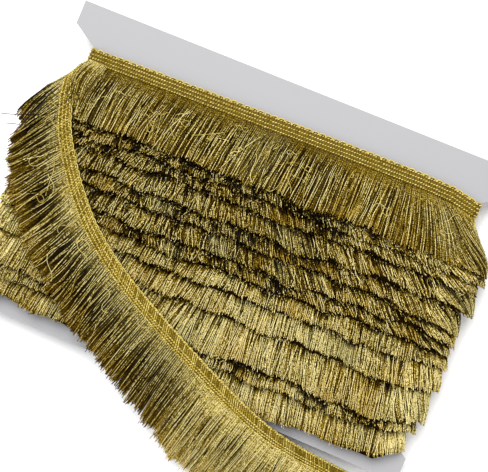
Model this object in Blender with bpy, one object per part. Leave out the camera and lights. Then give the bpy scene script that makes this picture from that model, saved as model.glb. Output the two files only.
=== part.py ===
"""Brush fringe trim wound on a notched card that lies flat, with its loose end over the front.

Metres, +Z up. X runs along the card and +Y towards its header. The shapes are laid out about the card's
centre, on the surface at Z = 0, and centre_on_box moves them so that the origin is under the middle of the
whole object's box.
"""
import math
import random
from collections import namedtuple

import bmesh
import bpy
from mathutils import Vector

# Clearances
GAP = 0.0003
BAND_GAP = 0.0004

# Card
CARD_LENGTH = 0.390
CARD_HEIGHT = 0.269
CARD_THICKNESS = 0.0015
CARD_LEVEL = 0.0225
BODY_HALF = 0.1695
END_DEPTH = 0.0205
NOTCH_ROOT = 0.0343
NOTCH_FLAT = 0.0035

# Winding
INNER = CARD_THICKNESS / 2 + BAND_GAP
BACK_SWELL = 1.25
BEND = 0.040
FRONT = 2 * BODY_HALF
LOOP = 2 * (FRONT + BEND)
FRONT_STATIONS = 16
BACK_STATIONS = 9
BEND_STATIONS = 6
TIER_RISE = 0.0050
ROOT_RISE = 0.40
BELLY_AT = 0.45
BELLY_RISE = 0.20
TIP_UNDERCUT = 0.0015
RIPPLE = 0.0011
RIPPLE_TURNS = (6, 11, 17)
RIPPLE_SEED = 100
SPREAD = 0.150
SLOT_REACH = 0.015
FAR_Y = 0.140

# Trim
HEADING_WIDTH = 0.0122
HEADING_THICKNESS = 0.0017
HEADING_CROWN = 0.0004
HEADING_INSET = 0.0002
HEADING_TUCK = 0.0180
TURN_STEP = 0.0128
FOLD_GAP = 0.0020
STRIP_WIDTH = 0.0020
LOCK_THICKNESS = 0.0014
LOCK_FILL = 0.84
LOCK_SHARP = 0.50

# The header side of the winding, along the front: x, and y of the heading's upper edge.
Edge = namedtuple("Edge", "x y")
TOP_EDGE = (
    Edge(-0.1695, 0.0986),
    Edge(-0.1260, 0.0999),
    Edge(-0.0280, 0.1020),
    Edge(0.0600, 0.1038),
    Edge(0.1190, 0.1043),
    Edge(0.1490, 0.1032),
    Edge(0.1695, 0.0990),
)

# From the top edge, share 0, to the first tier's tips, share 1: how far the winding stands off the card's
# face, and off its side edge where it bends round.
Shoulder = namedtuple("Shoulder", "share front side")
SHOULDER = (
    Shoulder(0.00, 0.0020, 0.0009),
    Shoulder(0.24, 0.0026, 0.0011),
    Shoulder(0.34, 0.0048, 0.0022),
    Shoulder(0.44, 0.0073, 0.0056),
    Shoulder(0.60, 0.0108, 0.0138),
    Shoulder(0.72, 0.0134, 0.0200),
    Shoulder(0.87, 0.0158, 0.0246),
)

# One row a tier, from the header down. left, middle and right are the y of its tips on the front, at
# -SPREAD, 0 and SPREAD. front and side are how far the tips stand off the card's face and its side edge.
Tier = namedtuple("Tier", "left middle right front side")
TIERS = (
    Tier(0.0389, 0.0435, 0.0458, 0.0170, 0.0266),
    Tier(0.0300, 0.0345, 0.0378, 0.0178, 0.0282),
    Tier(0.0213, 0.0242, 0.0290, 0.0186, 0.0246),
    Tier(0.0035, 0.0075, 0.0125, 0.0190, 0.0290),
    Tier(-0.0105, -0.0030, -0.0035, 0.0190, 0.0236),
    Tier(-0.0265, -0.0210, -0.0140, 0.0188, 0.0242),
    Tier(-0.0350, -0.0306, -0.0250, 0.0186, 0.0228),
    Tier(-0.0485, -0.0462, -0.0390, 0.0192, 0.0256),
    Tier(-0.0670, -0.0645, -0.0610, 0.0190, 0.0288),
    Tier(-0.0950, -0.0950, -0.0915, 0.0178, 0.0290),
    Tier(-0.1045, -0.1050, -0.1010, 0.0166, 0.0268),
    Tier(-0.1216, -0.1255, -0.1240, 0.0132, 0.0180),
)

# The loose end from the left fold to its cut end, at the middle of the heading. toward is the bearing of
# the heading's fringe side in degrees from +X, dip how far that side hangs down, comb the bearing of the
# fringe, reach its length seen from above, and tip the height of its tips.
Lie = namedtuple("Lie", "x y z toward dip comb reach tip")
LOOSE = (
    Lie(-0.1760, 0.0797, 0.0246, 247, 4, 224, 0.036, 0.0200),
    Lie(-0.1776, 0.0768, 0.0300, 236, 22, 227, 0.040, 0.0240),
    Lie(-0.1774, 0.0708, 0.0368, 210, 30, 232, 0.044, 0.0280),
    Lie(-0.1748, 0.0610, 0.0422, 194, 17, 236, 0.047, 0.0310),
    Lie(-0.1712, 0.0484, 0.0452, 197, 8, 238, 0.049, 0.0345),
    Lie(-0.1630, 0.0263, 0.0462, 206, 4, 238, 0.051, 0.0385),
    Lie(-0.1492, 0.0042, 0.0464, 214, 2, 238, 0.052, 0.0425),
    Lie(-0.1320, -0.0180, 0.0465, 222, 1, 239, 0.053, 0.0442),
    Lie(-0.1110, -0.0397, 0.0465, 229, 1, 241, 0.054, 0.0442),
    Lie(-0.0860, -0.0585, 0.0465, 235, 1, 243, 0.054, 0.0430),
    Lie(-0.0590, -0.0745, 0.0463, 239, 1, 245, 0.054, 0.0400),
    Lie(-0.0295, -0.0894, 0.0460, 242, 1, 246, 0.055, 0.0360),
    Lie(0.0015, -0.1040, 0.0456, 245, 2, 247, 0.056, 0.0300),
    Lie(0.0320, -0.1175, 0.0448, 247, 4, 248, 0.056, 0.0215),
    Lie(0.0620, -0.1300, 0.0415, 250, 8, 250, 0.056, 0.0120),
    Lie(0.0890, -0.1390, 0.0345, 253, 12, 252, 0.054, 0.0050),
    Lie(0.1130, -0.1440, 0.0250, 256, 15, 254, 0.053, 0.0014),
    Lie(0.1340, -0.1470, 0.0160, 258, 14, 256, 0.052, 0.0010),
    Lie(0.1550, -0.1500, 0.0078, 260, 8, 258, 0.052, 0.0007),
    Lie(0.1760, -0.1530, 0.0032, 262, 2, 260, 0.052, 0.0006),
    Lie(0.1900, -0.1548, 0.0020, 263, 0, 261, 0.052, 0.0006),
)
LOOSE_STATIONS = 60
SETTLE = 1.5

# The locks of each fringe. The top fringe runs from just past the left fold to partway round the right.
# From a lock's root, share 0, to its tips, share 1, a section gives its size and its lift off the winding.
Section = namedtuple("Section", "share size lift")
TOP_LOCKS = 92
TOP_START = 0.0125
TOP_END = FRONT + 0.62 * BEND
TOP_LIFT = 0.0006
TOP_STRIP_GAP = 0.0009
TOP_LEAN = 0.0040
LEAN_FROM = 0.60
LEAN_SPREAD = 0.0003
TOP_RAGGED = 0.0022
TOP_SEED = 7
TOP_SECTIONS = (
    Section(0.36, 0.95, 0.0014),
    Section(0.72, 0.85, 0.0020),
    Section(1.00, 0.50, 0.0009),
)
LOOSE_LOCKS = 112
COMB_SPREAD = 0.5
REACH_SPREAD = (0.93, 1.04)
LEVEL_BY = 1.5
LOOSE_SEED = 11
LOOSE_SECTIONS = (
    Section(0.52, 0.95, 0.0),
    Section(1.00, 0.55, 0.0),
)

# Finishes: linear colour and roughness
CARD_COLOUR = (0.62, 0.61, 0.63, 1.0)
GOLD = (0.36, 0.25, 0.045, 1.0)
DEEP_GOLD = (0.26, 0.17, 0.030, 1.0)
HEADING_GOLD = (0.45, 0.32, 0.055, 1.0)


def clear_scene():
    for item in list(bpy.data.objects):
        bpy.data.objects.remove(item, do_unlink=True)


def finish_material(name, colour, roughness):
    material = bpy.data.materials.new(name)
    material.use_nodes = True
    shader = material.node_tree.nodes["Principled BSDF"]
    shader.inputs["Base Color"].default_value = colour
    shader.inputs["Roughness"].default_value = roughness
    shader.inputs["Metallic"].default_value = 0.0
    return material


def solid(name, points, faces, material, smooth_degrees=None):
    """Makes one closed body of points and faces, its faces turned outwards."""
    mesh = bpy.data.meshes.new(name)
    shape = bmesh.new()
    corners = [shape.verts.new(point) for point in points]
    for face in faces:
        shape.faces.new([corners[index] for index in face])
    bmesh.ops.recalc_face_normals(shape, faces=shape.faces)
    shape.to_mesh(mesh)
    shape.free()
    if smooth_degrees:
        mesh.shade_smooth()
        mesh.set_sharp_from_angle(angle=math.radians(smooth_degrees))
    mesh.materials.append(material)
    item = bpy.data.objects.new(name, mesh)
    bpy.context.collection.objects.link(item)
    return item


def loft(rows, closed):
    """Points and faces of a skin over rows of equal length. Each row is a closed profile."""
    count = len(rows[0])
    points = [point for row in rows for point in row]
    faces = []
    last = len(rows) if closed else len(rows) - 1
    for here in range(last):
        there = (here + 1) % len(rows)
        for index in range(count):
            beside = (index + 1) % count
            faces.append((
                here * count + index,
                here * count + beside,
                there * count + beside,
                there * count + index,
            ))
    if not closed:
        faces.append(tuple(range(count)))
        faces.append(tuple(reversed(range((len(rows) - 1) * count, len(rows) * count))))
    return points, faces


def between(low, high, share):
    return low + (high - low) * share


def read_table(rows, key, value, at):
    """Straight reading of column value at the place at in column key."""
    if at <= getattr(rows[0], key):
        return getattr(rows[0], value)
    for row, following in zip(rows, rows[1:]):
        start = getattr(row, key)
        end = getattr(following, key)
        if at <= end:
            return between(getattr(row, value), getattr(following, value), (at - start) / (end - start))
    return getattr(rows[-1], value)


def smooth_read(values, place):
    """Catmull-Rom reading of a list at a place from 0 to its last index."""
    index = min(int(place), len(values) - 2)
    share = place - index
    before = values[max(index - 1, 0)]
    start = values[index]
    end = values[index + 1]
    after = values[min(index + 2, len(values) - 1)]
    pull = (end - before) / 2
    push = (after - start) / 2
    return (
        start * (2 * share**3 - 3 * share**2 + 1)
        + pull * (share**3 - 2 * share**2 + share)
        + end * (3 * share**2 - 2 * share**3)
        + push * (share**3 - share**2)
    )


def around(place):
    """Where the loop round the card stands at a place along it, and the way it faces, as an angle.

    Place 0 is the left end of the front. The loop then runs right, round the right edge, back and round.
    """
    place = place % LOOP
    if place < FRONT:
        return place - BODY_HALF, math.pi / 2
    if place < FRONT + BEND:
        return BODY_HALF, math.pi / 2 - math.pi * (place - FRONT) / BEND
    if place < 2 * FRONT + BEND:
        return BODY_HALF - (place - FRONT - BEND), -math.pi / 2
    return -BODY_HALF, -math.pi / 2 - math.pi * (place - 2 * FRONT - BEND) / BEND


def stand_off(place, y, front, side):
    """A point front off the card's face, or side off its edge in a bend, and never under the surface."""
    x, angle = around(place)
    swell = BACK_SWELL if math.sin(angle) < 0 else 1.0
    x += math.cos(angle) * (INNER + side)
    z = CARD_LEVEL + math.sin(angle) * (INNER + front * between(1.0, swell, max(-math.sin(angle), 0.0)))
    return Vector((x, y, max(z, 0.0)))


def on_front(angle):
    """Whether the loop at this angle lies on the card's front."""
    return math.isclose(angle, math.pi / 2)


def ripple(tier, place):
    """A small wave of a tier's tips that closes on itself round the loop."""
    draw = random.Random(RIPPLE_SEED + tier)
    wave = 0.0
    for turns in RIPPLE_TURNS:
        wave += math.sin(2 * math.pi * (turns * place / LOOP + draw.random())) / 2
    return RIPPLE * wave


def top_edge(place):
    """The y of the winding's upper edge."""
    x, angle = around(place)
    if on_front(angle):
        return read_table(TOP_EDGE, "x", "y", x)
    return between(TOP_EDGE[0].y, TOP_EDGE[-1].y, (x + BODY_HALF) / FRONT)


def tip_line(index, place):
    """The y of a tier's tips: a bowed line on the front and a straight one at the back."""
    tier = TIERS[index]
    x, angle = around(place)
    share = x / SPREAD
    straight = (tier.left + tier.right) / 2 + share * (tier.right - tier.left) / 2
    bow = tier.middle - (tier.left + tier.right) / 2
    if on_front(angle):
        straight += bow * (1 - share**2)
    else:
        straight += bow * (1 - (BODY_HALF / SPREAD) ** 2)
    return straight + ripple(index, place)


def shoulder_at(place, y):
    """How far the winding stands off the card's face and edge at a y above the first tier's tips."""
    top = top_edge(place)
    share = (top - y) / (top - tip_line(0, place))
    rows = SHOULDER + (Shoulder(1.0, TIERS[0].front, TIERS[0].side),)
    return read_table(rows, "share", "front", share), read_table(rows, "share", "side", share)


def winding_profile(place):
    """One closed section of the winding, from the header down its outside and back up the card."""
    top = top_edge(place)
    first = tip_line(0, place)
    section = [stand_off(place, between(top, first, row.share), row.front, row.side) for row in SHOULDER]
    section.append(stand_off(place, first, TIERS[0].front, TIERS[0].side))
    above = first
    for index in range(1, len(TIERS)):
        tier = TIERS[index]
        tips = tip_line(index, place)
        depth = above - tips
        rise = min(TIER_RISE, ROOT_RISE * depth)
        root = above + TIP_UNDERCUT
        section.append(stand_off(place, root, tier.front - rise, tier.side - rise))
        belly = above - BELLY_AT * depth
        section.append(stand_off(place, belly, tier.front - BELLY_RISE * rise, tier.side - BELLY_RISE * rise))
        section.append(stand_off(place, tips, tier.front, tier.side))
        above = tips
    heel = above + 2 * TIP_UNDERCUT
    section.append(stand_off(place, heel, TIERS[-1].front / 2, TIERS[-1].side / 2))
    section.append(stand_off(place, heel + TIP_UNDERCUT, 0.0, 0.0))
    section.append(stand_off(place, top - TIP_UNDERCUT, 0.0, 0.0))
    return section


def stations():
    """Places along the loop where the winding's sections stand."""
    places = [FRONT * index / FRONT_STATIONS for index in range(FRONT_STATIONS)]
    places += [FRONT + BEND * index / BEND_STATIONS for index in range(BEND_STATIONS)]
    places += [FRONT + BEND + FRONT * index / BACK_STATIONS for index in range(BACK_STATIONS)]
    places += [2 * FRONT + BEND + BEND * index / BEND_STATIONS for index in range(BEND_STATIONS)]
    return places


def make_card():
    half = CARD_LENGTH / 2
    edge = CARD_HEIGHT / 2
    quarter = (
        (half, edge),
        (half, edge - END_DEPTH),
        (BODY_HALF + NOTCH_FLAT, edge - NOTCH_ROOT),
        (BODY_HALF, edge - NOTCH_ROOT),
    )
    right = list(quarter) + [(x, -y) for x, y in reversed(quarter)]
    outline = right + [(-x, y) for x, y in reversed(right)]
    rows = []
    for z in (CARD_LEVEL - CARD_THICKNESS / 2, CARD_LEVEL + CARD_THICKNESS / 2):
        rows.append([Vector((x, y, z)) for x, y in outline])
    points, faces = loft(rows, closed=False)
    solid("card", points, faces, finish_material("card_board", CARD_COLOUR, 0.55))


def footer_slots():
    """A cutter for the slits where the lowest tiers hang either side of the footer's two ends."""
    root = CARD_HEIGHT / 2 - NOTCH_ROOT - GAP
    points = []
    faces = []
    for side in (-1, 1):
        near, far = side * (BODY_HALF - INNER), side * (CARD_LENGTH / 2 + SLOT_REACH)
        rows = []
        outline = ((near, -root), (far, -root), (far, -FAR_Y), (near, -FAR_Y))
        for z in (CARD_LEVEL - INNER, CARD_LEVEL + INNER):
            rows.append([Vector((x, y, z)) for x, y in outline])
        more_points, more_faces = loft(rows, closed=False)
        faces += [tuple(index + len(points) for index in face) for face in more_faces]
        points += more_points
    cutter = solid("footer_slots", points, faces, finish_material("cutter", CARD_COLOUR, 0.5))
    cutter.hide_render = True
    cutter.display_type = "WIRE"
    return cutter


def make_winding():
    points, faces = loft([winding_profile(place) for place in stations()], closed=True)
    winding = solid("winding", points, faces, finish_material("wound_fringe", DEEP_GOLD, 0.6), 40)
    cut = winding.modifiers.new("footer_slots", "BOOLEAN")
    cut.operation = "DIFFERENCE"
    cut.solver = "EXACT"
    cut.object = footer_slots()


def on_winding(place, y, height):
    """A point at a height over the winding's surface, above the first tier's tips."""
    front, side = shoulder_at(place, y)
    return stand_off(place, y, front + height, side + height)


def band_edge(place):
    """The y of the last turn's upper edge: level with the winding's, then down across the back."""
    back_start = FRONT + BEND
    drop = max(0.0, min(1.0, (place - back_start) / FRONT))
    return top_edge(place) - drop * TURN_STEP


def make_top_heading():
    """The last turn's heading. It starts behind the left fold, and ends at it under its own start."""
    start = -BEND - HEADING_TUCK
    end = LOOP - BEND / 2 - FOLD_GAP
    places = [start, -BEND, *(-BEND + BEND * index / BEND_STATIONS for index in range(1, BEND_STATIONS))]
    places += [FRONT * index / FRONT_STATIONS for index in range(FRONT_STATIONS)]
    places += [FRONT + BEND * index / BEND_STATIONS for index in range(BEND_STATIONS)]
    places += [FRONT + BEND + FRONT * index / BACK_STATIONS for index in range(BACK_STATIONS)]
    places += [2 * FRONT + BEND + BEND * index / BEND_STATIONS for index in range(BEND_STATIONS // 2)]
    places.append(end)
    rows = []
    for place in places:
        upper = band_edge(place) - HEADING_INSET
        row = []
        for share, height in ((0.0, 0.0), (0.5, 0.0), (1.0, 0.0), (1.0, 1.0), (0.5, 1.0), (0.0, 1.0)):
            crown = HEADING_CROWN if share == 0.5 else 0.0
            lift = BAND_GAP + crown + height * HEADING_THICKNESS
            row.append(on_winding(place, upper - share * HEADING_WIDTH, lift))
        rows.append(row)
    points, faces = loft(rows, closed=False)
    solid("top_heading", points, faces, finish_material("top_heading_knit", HEADING_GOLD, 0.5), 50)


Lock = namedtuple("Lock", "inner left right rise sections")


def lock_thickness(size):
    """A lock's thickness where it has this share of its full width."""
    return LOCK_THICKNESS * between(LOCK_SHARP, 1.0, size)


def make_fringe(name, locks, material):
    """A narrow strip with tapering four-sided locks that stand out of its outer edge.

    Each lock's left and right are its root's ends on that edge, inner the strip's point behind them, rise
    the way the strip faces, and sections the way from the root to each next section, its facing and size.
    """
    points = []
    faces = []

    def pair(point, rise, thickness):
        points.append(point - rise * thickness / 2)
        points.append(point + rise * thickness / 2)
        return len(points) - 2

    inner = [pair(lock.inner, lock.rise, LOCK_THICKNESS) for lock in locks]
    left = [pair(lock.left, lock.rise, LOCK_THICKNESS) for lock in locks]
    right = [pair(lock.right, lock.rise, LOCK_THICKNESS) for lock in locks]
    for index, lock in enumerate(locks):
        c, a, b = inner[index], left[index], right[index]
        faces += [(c, b, a), (c + 1, a + 1, b + 1)]
        if index + 1 < len(locks):
            c2, a2 = inner[index + 1], left[index + 1]
            faces += [(c, a2, b), (c + 1, b + 1, a2 + 1), (c, c2, a2), (c + 1, a2 + 1, c2 + 1)]
            faces += [(b, a2, a2 + 1, b + 1), (c, c + 1, c2 + 1, c2)]
        middle = (lock.left + lock.right) / 2
        half = (lock.right - lock.left) / 2
        from_left, from_right = a, b
        for shift, rise, size in lock.sections:
            to_left = pair(middle + shift - half * size, rise, lock_thickness(size))
            to_right = pair(middle + shift + half * size, rise, lock_thickness(size))
            faces += [
                (from_left, from_right, to_right, to_left),
                (from_left + 1, to_left + 1, to_right + 1, from_right + 1),
                (from_left, to_left, to_left + 1, from_left + 1),
                (from_right, from_right + 1, to_right + 1, to_right),
            ]
            from_left, from_right = to_left, to_right
        faces.append((from_left, from_right, from_right + 1, from_left + 1))
    first, last = 0, len(locks) - 1
    faces.append((inner[first], left[first], left[first] + 1, inner[first] + 1))
    faces.append((inner[last], inner[last] + 1, right[last] + 1, right[last]))
    solid(name, points, faces, material)


def make_top_fringe():
    """The last turn's fringe over the front and round the right fold, as far as the loose end lets it."""
    draw = random.Random(TOP_SEED)
    pitch = (TOP_END - TOP_START) / TOP_LOCKS
    centre_lift = TOP_LIFT + LOCK_THICKNESS / 2
    locks = []
    for index in range(TOP_LOCKS):
        place = TOP_START + pitch * (index + 0.5)
        half = pitch * LOCK_FILL / 2
        heading_foot = band_edge(place) - HEADING_WIDTH - TOP_STRIP_GAP
        root = heading_foot - STRIP_WIDTH
        leaning = max(0.0, min(1.0, (place / FRONT - LEAN_FROM) / (1.0 - LEAN_FROM)))
        lean = TOP_LEAN * leaning**2 + draw.uniform(-LEAN_SPREAD, LEAN_SPREAD)
        tips = tip_line(0, place + lean) - draw.uniform(0.0, TOP_RAGGED)
        middle = on_winding(place, root, centre_lift)
        rise = (on_winding(place, root, centre_lift + LOCK_THICKNESS) - middle).normalized()
        sections = []
        for share, size, lift in TOP_SECTIONS:
            at = place + lean * share
            y = between(root, tips, share)
            spot = on_winding(at, max(y, tip_line(0, at)), lift + LOCK_THICKNESS / 2)
            outward = on_winding(at, max(y, tip_line(0, at)), lift + LOCK_THICKNESS) - spot
            spot.y = y
            sections.append((spot - middle, outward.normalized(), size))
        locks.append(Lock(
            on_winding(place, heading_foot, centre_lift),
            on_winding(place - half, root, centre_lift),
            on_winding(place + half, root, centre_lift),
            rise,
            sections,
        ))
    make_fringe("top_fringe", locks, finish_material("top_fringe_yarn", GOLD, 0.45))


def loose_frame(place):
    """The loose end's middle, the way across its face to the fringe, and the way it faces, at a row place."""
    def centre(at):
        return Vector([smooth_read([getattr(row, axis) for row in LOOSE], at) for axis in ("x", "y", "z")])

    step = 0.02
    last = len(LOOSE) - 1
    along = (centre(min(place + step, last)) - centre(max(place - step, 0))).normalized()
    bearing = math.radians(smooth_read([row.toward for row in LOOSE], place))
    dip = math.radians(smooth_read([row.dip for row in LOOSE], place))
    across = Vector((math.cos(bearing) * math.cos(dip), math.sin(bearing) * math.cos(dip), -math.sin(dip)))
    across = (across - along * across.dot(along)).normalized()
    return centre(place), across, across.cross(along).normalized()


def even_places(count):
    """Row places that part the loose end's length into count equal steps."""
    fine = 400
    last = len(LOOSE) - 1
    marks = [last * index / fine for index in range(fine + 1)]
    run = [0.0]
    for here, there in zip(marks, marks[1:]):
        run.append(run[-1] + (loose_frame(there)[0] - loose_frame(here)[0]).length)
    places = []
    index = 0
    for step in range(count + 1):
        goal = run[-1] * step / count
        while index < fine - 1 and run[index + 1] < goal:
            index += 1
        share = (goal - run[index]) / (run[index + 1] - run[index])
        places.append(between(marks[index], marks[index + 1], share))
    return places


def make_loose_heading():
    rows = []
    for place in even_places(LOOSE_STATIONS):
        middle, across, facing = loose_frame(place)
        row = []
        for share, height in ((-0.5, -0.5), (0.0, -0.5), (0.5, -0.5), (0.5, 0.5), (0.0, 0.5), (-0.5, 0.5)):
            crown = HEADING_CROWN if share == 0.0 else 0.0
            row.append(middle + across * HEADING_WIDTH * share + facing * (HEADING_THICKNESS * height + crown))
        rows.append(row)
    points, faces = loft(rows, closed=False)
    solid("loose_heading", points, faces, finish_material("loose_heading_knit", HEADING_GOLD, 0.5), 50)


def make_loose_fringe():
    draw = random.Random(LOOSE_SEED)
    marks = even_places(LOOSE_LOCKS)
    locks = []
    for here, there in zip(marks, marks[1:]):
        place = (here + there) / 2
        share = LOCK_FILL / 2
        ends = [loose_frame(place + (there - here) * side * share) for side in (-1, 1)]
        near = HEADING_WIDTH / 2 + BAND_GAP
        far = near + STRIP_WIDTH
        left, right = [middle + across * far for middle, across, facing in ends]
        middle, across, facing = loose_frame(place)
        comb = smooth_read([row.comb for row in LOOSE], place)
        bearing = math.radians(comb + draw.uniform(-COMB_SPREAD, COMB_SPREAD))
        reach = smooth_read([row.reach for row in LOOSE], place) * draw.uniform(*REACH_SPREAD)
        tip = max(smooth_read([row.tip for row in LOOSE], place), LOCK_THICKNESS / 2)
        root = (left + right) / 2
        sections = []
        for section in LOOSE_SECTIONS:
            fall = (tip - root.z) * section.share**SETTLE
            fall = max(fall, lock_thickness(section.size) / 2 - root.z)
            level = Vector((math.cos(bearing), math.sin(bearing), 0.0)) * reach * section.share
            levelled = min(1.0, LEVEL_BY * section.share)
            rise = between(facing, Vector((0.0, 0.0, 1.0)), levelled).normalized()
            sections.append((level + Vector((0.0, 0.0, fall)), rise, section.size))
        locks.append(Lock(middle + across * near, left, right, facing, sections))
    make_fringe("loose_fringe", locks, finish_material("loose_fringe_yarn", GOLD, 0.45))


def centre_on_box():
    """Moves every solid level, so that the origin is under the middle of the whole box."""
    items = list(bpy.context.collection.objects)
    spots = [vertex.co for item in items if not item.hide_render for vertex in item.data.vertices]
    middle_x = (min(spot.x for spot in spots) + max(spot.x for spot in spots)) / 2
    middle_y = (min(spot.y for spot in spots) + max(spot.y for spot in spots)) / 2
    for item in items:
        for vertex in item.data.vertices:
            vertex.co.x -= middle_x
            vertex.co.y -= middle_y


clear_scene()
make_card()
make_winding()
make_top_heading()
make_top_fringe()
make_loose_heading()
make_loose_fringe()
centre_on_box()
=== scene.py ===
"""Brush fringe trim wound on a notched card: its cut yarns, knitted headings and bare card.

Metres, in the frame's own axes. The winding's tables are laid out about the card's centre, with the
surface that the card lies on at Z = 0. A place runs along the loop round the card, from the left end of
the front, over the right fold, along the back and round the left fold.
"""
import math
import random
from collections import namedtuple

import bmesh
import bpy
import numpy as np
from bpy.props import FloatProperty, FloatVectorProperty, IntProperty, PointerProperty
from mathutils import Matrix, Vector


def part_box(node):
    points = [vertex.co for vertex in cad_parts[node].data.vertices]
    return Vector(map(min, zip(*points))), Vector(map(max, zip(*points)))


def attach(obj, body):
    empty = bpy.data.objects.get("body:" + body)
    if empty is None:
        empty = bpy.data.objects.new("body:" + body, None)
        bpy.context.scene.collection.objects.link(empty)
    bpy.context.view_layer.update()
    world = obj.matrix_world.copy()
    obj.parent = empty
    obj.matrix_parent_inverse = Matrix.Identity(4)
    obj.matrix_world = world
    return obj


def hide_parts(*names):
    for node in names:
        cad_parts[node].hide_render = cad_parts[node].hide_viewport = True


bl_info = {
    "name": "Brush fringe trim on a card",
    "version": (1, 0, 0),
    "blender": (4, 5, 0),
    "location": "3D View > Sidebar > Trim",
    "description": "Makes the yarns, knitted headings and bare card of a wound brush fringe trim",
    "category": "Add Mesh",
}

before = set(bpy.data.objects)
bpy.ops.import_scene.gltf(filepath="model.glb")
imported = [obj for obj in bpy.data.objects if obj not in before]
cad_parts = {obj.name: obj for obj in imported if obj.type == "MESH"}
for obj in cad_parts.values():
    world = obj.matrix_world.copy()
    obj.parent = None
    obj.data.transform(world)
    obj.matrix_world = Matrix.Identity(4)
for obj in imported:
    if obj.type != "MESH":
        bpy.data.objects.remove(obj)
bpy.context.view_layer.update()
BODY = "root"

# The card, from the frame
CARD_LOW, CARD_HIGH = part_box("card")
MIDDLE = np.array([(CARD_LOW.x + CARD_HIGH.x) / 2, (CARD_LOW.y + CARD_HIGH.y) / 2, 0.0])
CARD_LEVEL = (CARD_LOW.z + CARD_HIGH.z) / 2
CARD_THICKNESS = CARD_HIGH.z - CARD_LOW.z

# The gap left between surfaces that touch
HAIR = 0.0004

# The winding's form. The front and the back run straight for BODY_HALF each side of the card's middle, and a
# fold takes BEND of the loop. INNER is where the innermost turn lies, and BACK_SWELL how much thicker the
# winding is behind the card.
BODY_HALF = 0.1695
INNER = CARD_THICKNESS / 2 + HAIR
BACK_SWELL = 1.25
BEND = 0.040
FRONT = 2 * BODY_HALF
LOOP = 2 * (FRONT + BEND)
FACE = (0.0, FRONT)
RIGHT_FOLD = (FRONT, FRONT + BEND)
BACK = (FRONT + BEND, LOOP - BEND)
LEFT_FOLD = (LOOP - BEND, LOOP)

# A tier's face starts under the tips above it, lower than its own tips by TIER_RISE or ROOT_RISE of its
# depth, and is within BELLY_RISE of that at BELLY_AT of the way down.
TIER_RISE = 0.0050
ROOT_RISE = 0.40
BELLY_AT = 0.45
BELLY_RISE = 0.20
TIP_UNDERCUT = 0.0015

# The tips' waves: those of the winding, and those that handling has added to its yarns
RAGGED_WAVE = 0.0011
WAVE_TURNS = (6, 11, 17)
WORN_WAVE = 0.0011
WORN_LENGTH = 0.019

# The headings. The last turn comes down by TURN_STEP across the back, starts HEADING_TUCK further under the
# loose end, and ends FOLD_GAP short of it.
HEADING_WIDTH = 0.0122
HEADING_THICKNESS = 0.0017
HEADING_TUCK = 0.0180
TURN_STEP = 0.0128
FOLD_GAP = 0.0020

# The winding's upper edge along the front, which the last turn's heading follows
Edge = namedtuple("Edge", "x y")
TOP_EDGE = (
    Edge(-0.1695, 0.0986),
    Edge(-0.1260, 0.0999),
    Edge(-0.0280, 0.1020),
    Edge(0.0600, 0.1038),
    Edge(0.1190, 0.1043),
    Edge(0.1490, 0.1032),
    Edge(0.1695, 0.0990),
)

# From the top edge, share 0, to the first tier's tips, share 1: how far the winding stands off the card's
# face, and off its side edge where it bends round.
Shoulder = namedtuple("Shoulder", "share front side")
SHOULDER = (
    Shoulder(0.00, 0.0020, 0.0009),
    Shoulder(0.24, 0.0026, 0.0011),
    Shoulder(0.34, 0.0048, 0.0022),
    Shoulder(0.44, 0.0073, 0.0056),
    Shoulder(0.60, 0.0108, 0.0138),
    Shoulder(0.72, 0.0134, 0.0200),
    Shoulder(0.87, 0.0158, 0.0246),
    Shoulder(1.00, 0.0170, 0.0266),
)

# One row a tier, from the header down. left, middle and right are the y of its tips on the front, at
# -SPREAD, 0 and SPREAD. front and side are how far the tips stand off the card's face and its side edge.
# splay is how far its tips lift where they bend round the right fold, face how far the painted shade of the
# cut face above it comes down over it, lit how bright its yarns are, and lie the column of LEANS and of the
# table of painted light along the front that it takes.
SPREAD = 0.150
Tier = namedtuple("Tier", "left middle right front side splay face lit lie")
TIERS = (
    Tier(0.0389, 0.0435, 0.0458, 0.0170, 0.0266, 0.000, 0.0000, 0.05, "top"),
    Tier(0.0300, 0.0345, 0.0378, 0.0178, 0.0282, 0.000, 0.0074, 0.10, "middle"),
    Tier(0.0213, 0.0242, 0.0290, 0.0186, 0.0246, 0.000, 0.0052, -0.06, "middle"),
    Tier(0.0035, 0.0075, 0.0125, 0.0190, 0.0290, 0.000, 0.0054, 0.00, "middle"),
    Tier(-0.0105, -0.0030, -0.0035, 0.0190, 0.0236, 0.000, 0.0058, -0.08, "middle"),
    Tier(-0.0265, -0.0210, -0.0140, 0.0188, 0.0242, 0.000, 0.0052, -0.02, "middle"),
    Tier(-0.0350, -0.0306, -0.0250, 0.0186, 0.0228, 0.000, 0.0056, -0.04, "middle"),
    Tier(-0.0485, -0.0462, -0.0390, 0.0192, 0.0256, 0.003, 0.0040, 0.24, "low"),
    Tier(-0.0670, -0.0645, -0.0610, 0.0190, 0.0270, 0.006, 0.0036, 0.36, "low"),
    Tier(-0.0950, -0.0950, -0.0915, 0.0178, 0.0256, 0.009, 0.0040, 0.46, "low"),
    Tier(-0.1045, -0.1050, -0.1010, 0.0166, 0.0218, 0.010, 0.0052, 0.40, "low"),
    Tier(-0.1205, -0.1255, -0.1240, 0.0132, 0.0190, 0.014, 0.0024, 0.50, "low"),
)

# Tiers whose painted shade of the cut faces above fades towards the right fold
FADED_RIGHT = (1, 2)

# The low tiers' yarns lie less wildly than the 1 of the tiers above, and more light reaches between them
LOW_CALM = 0.45
LOW_LIGHT = 0.10

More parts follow.
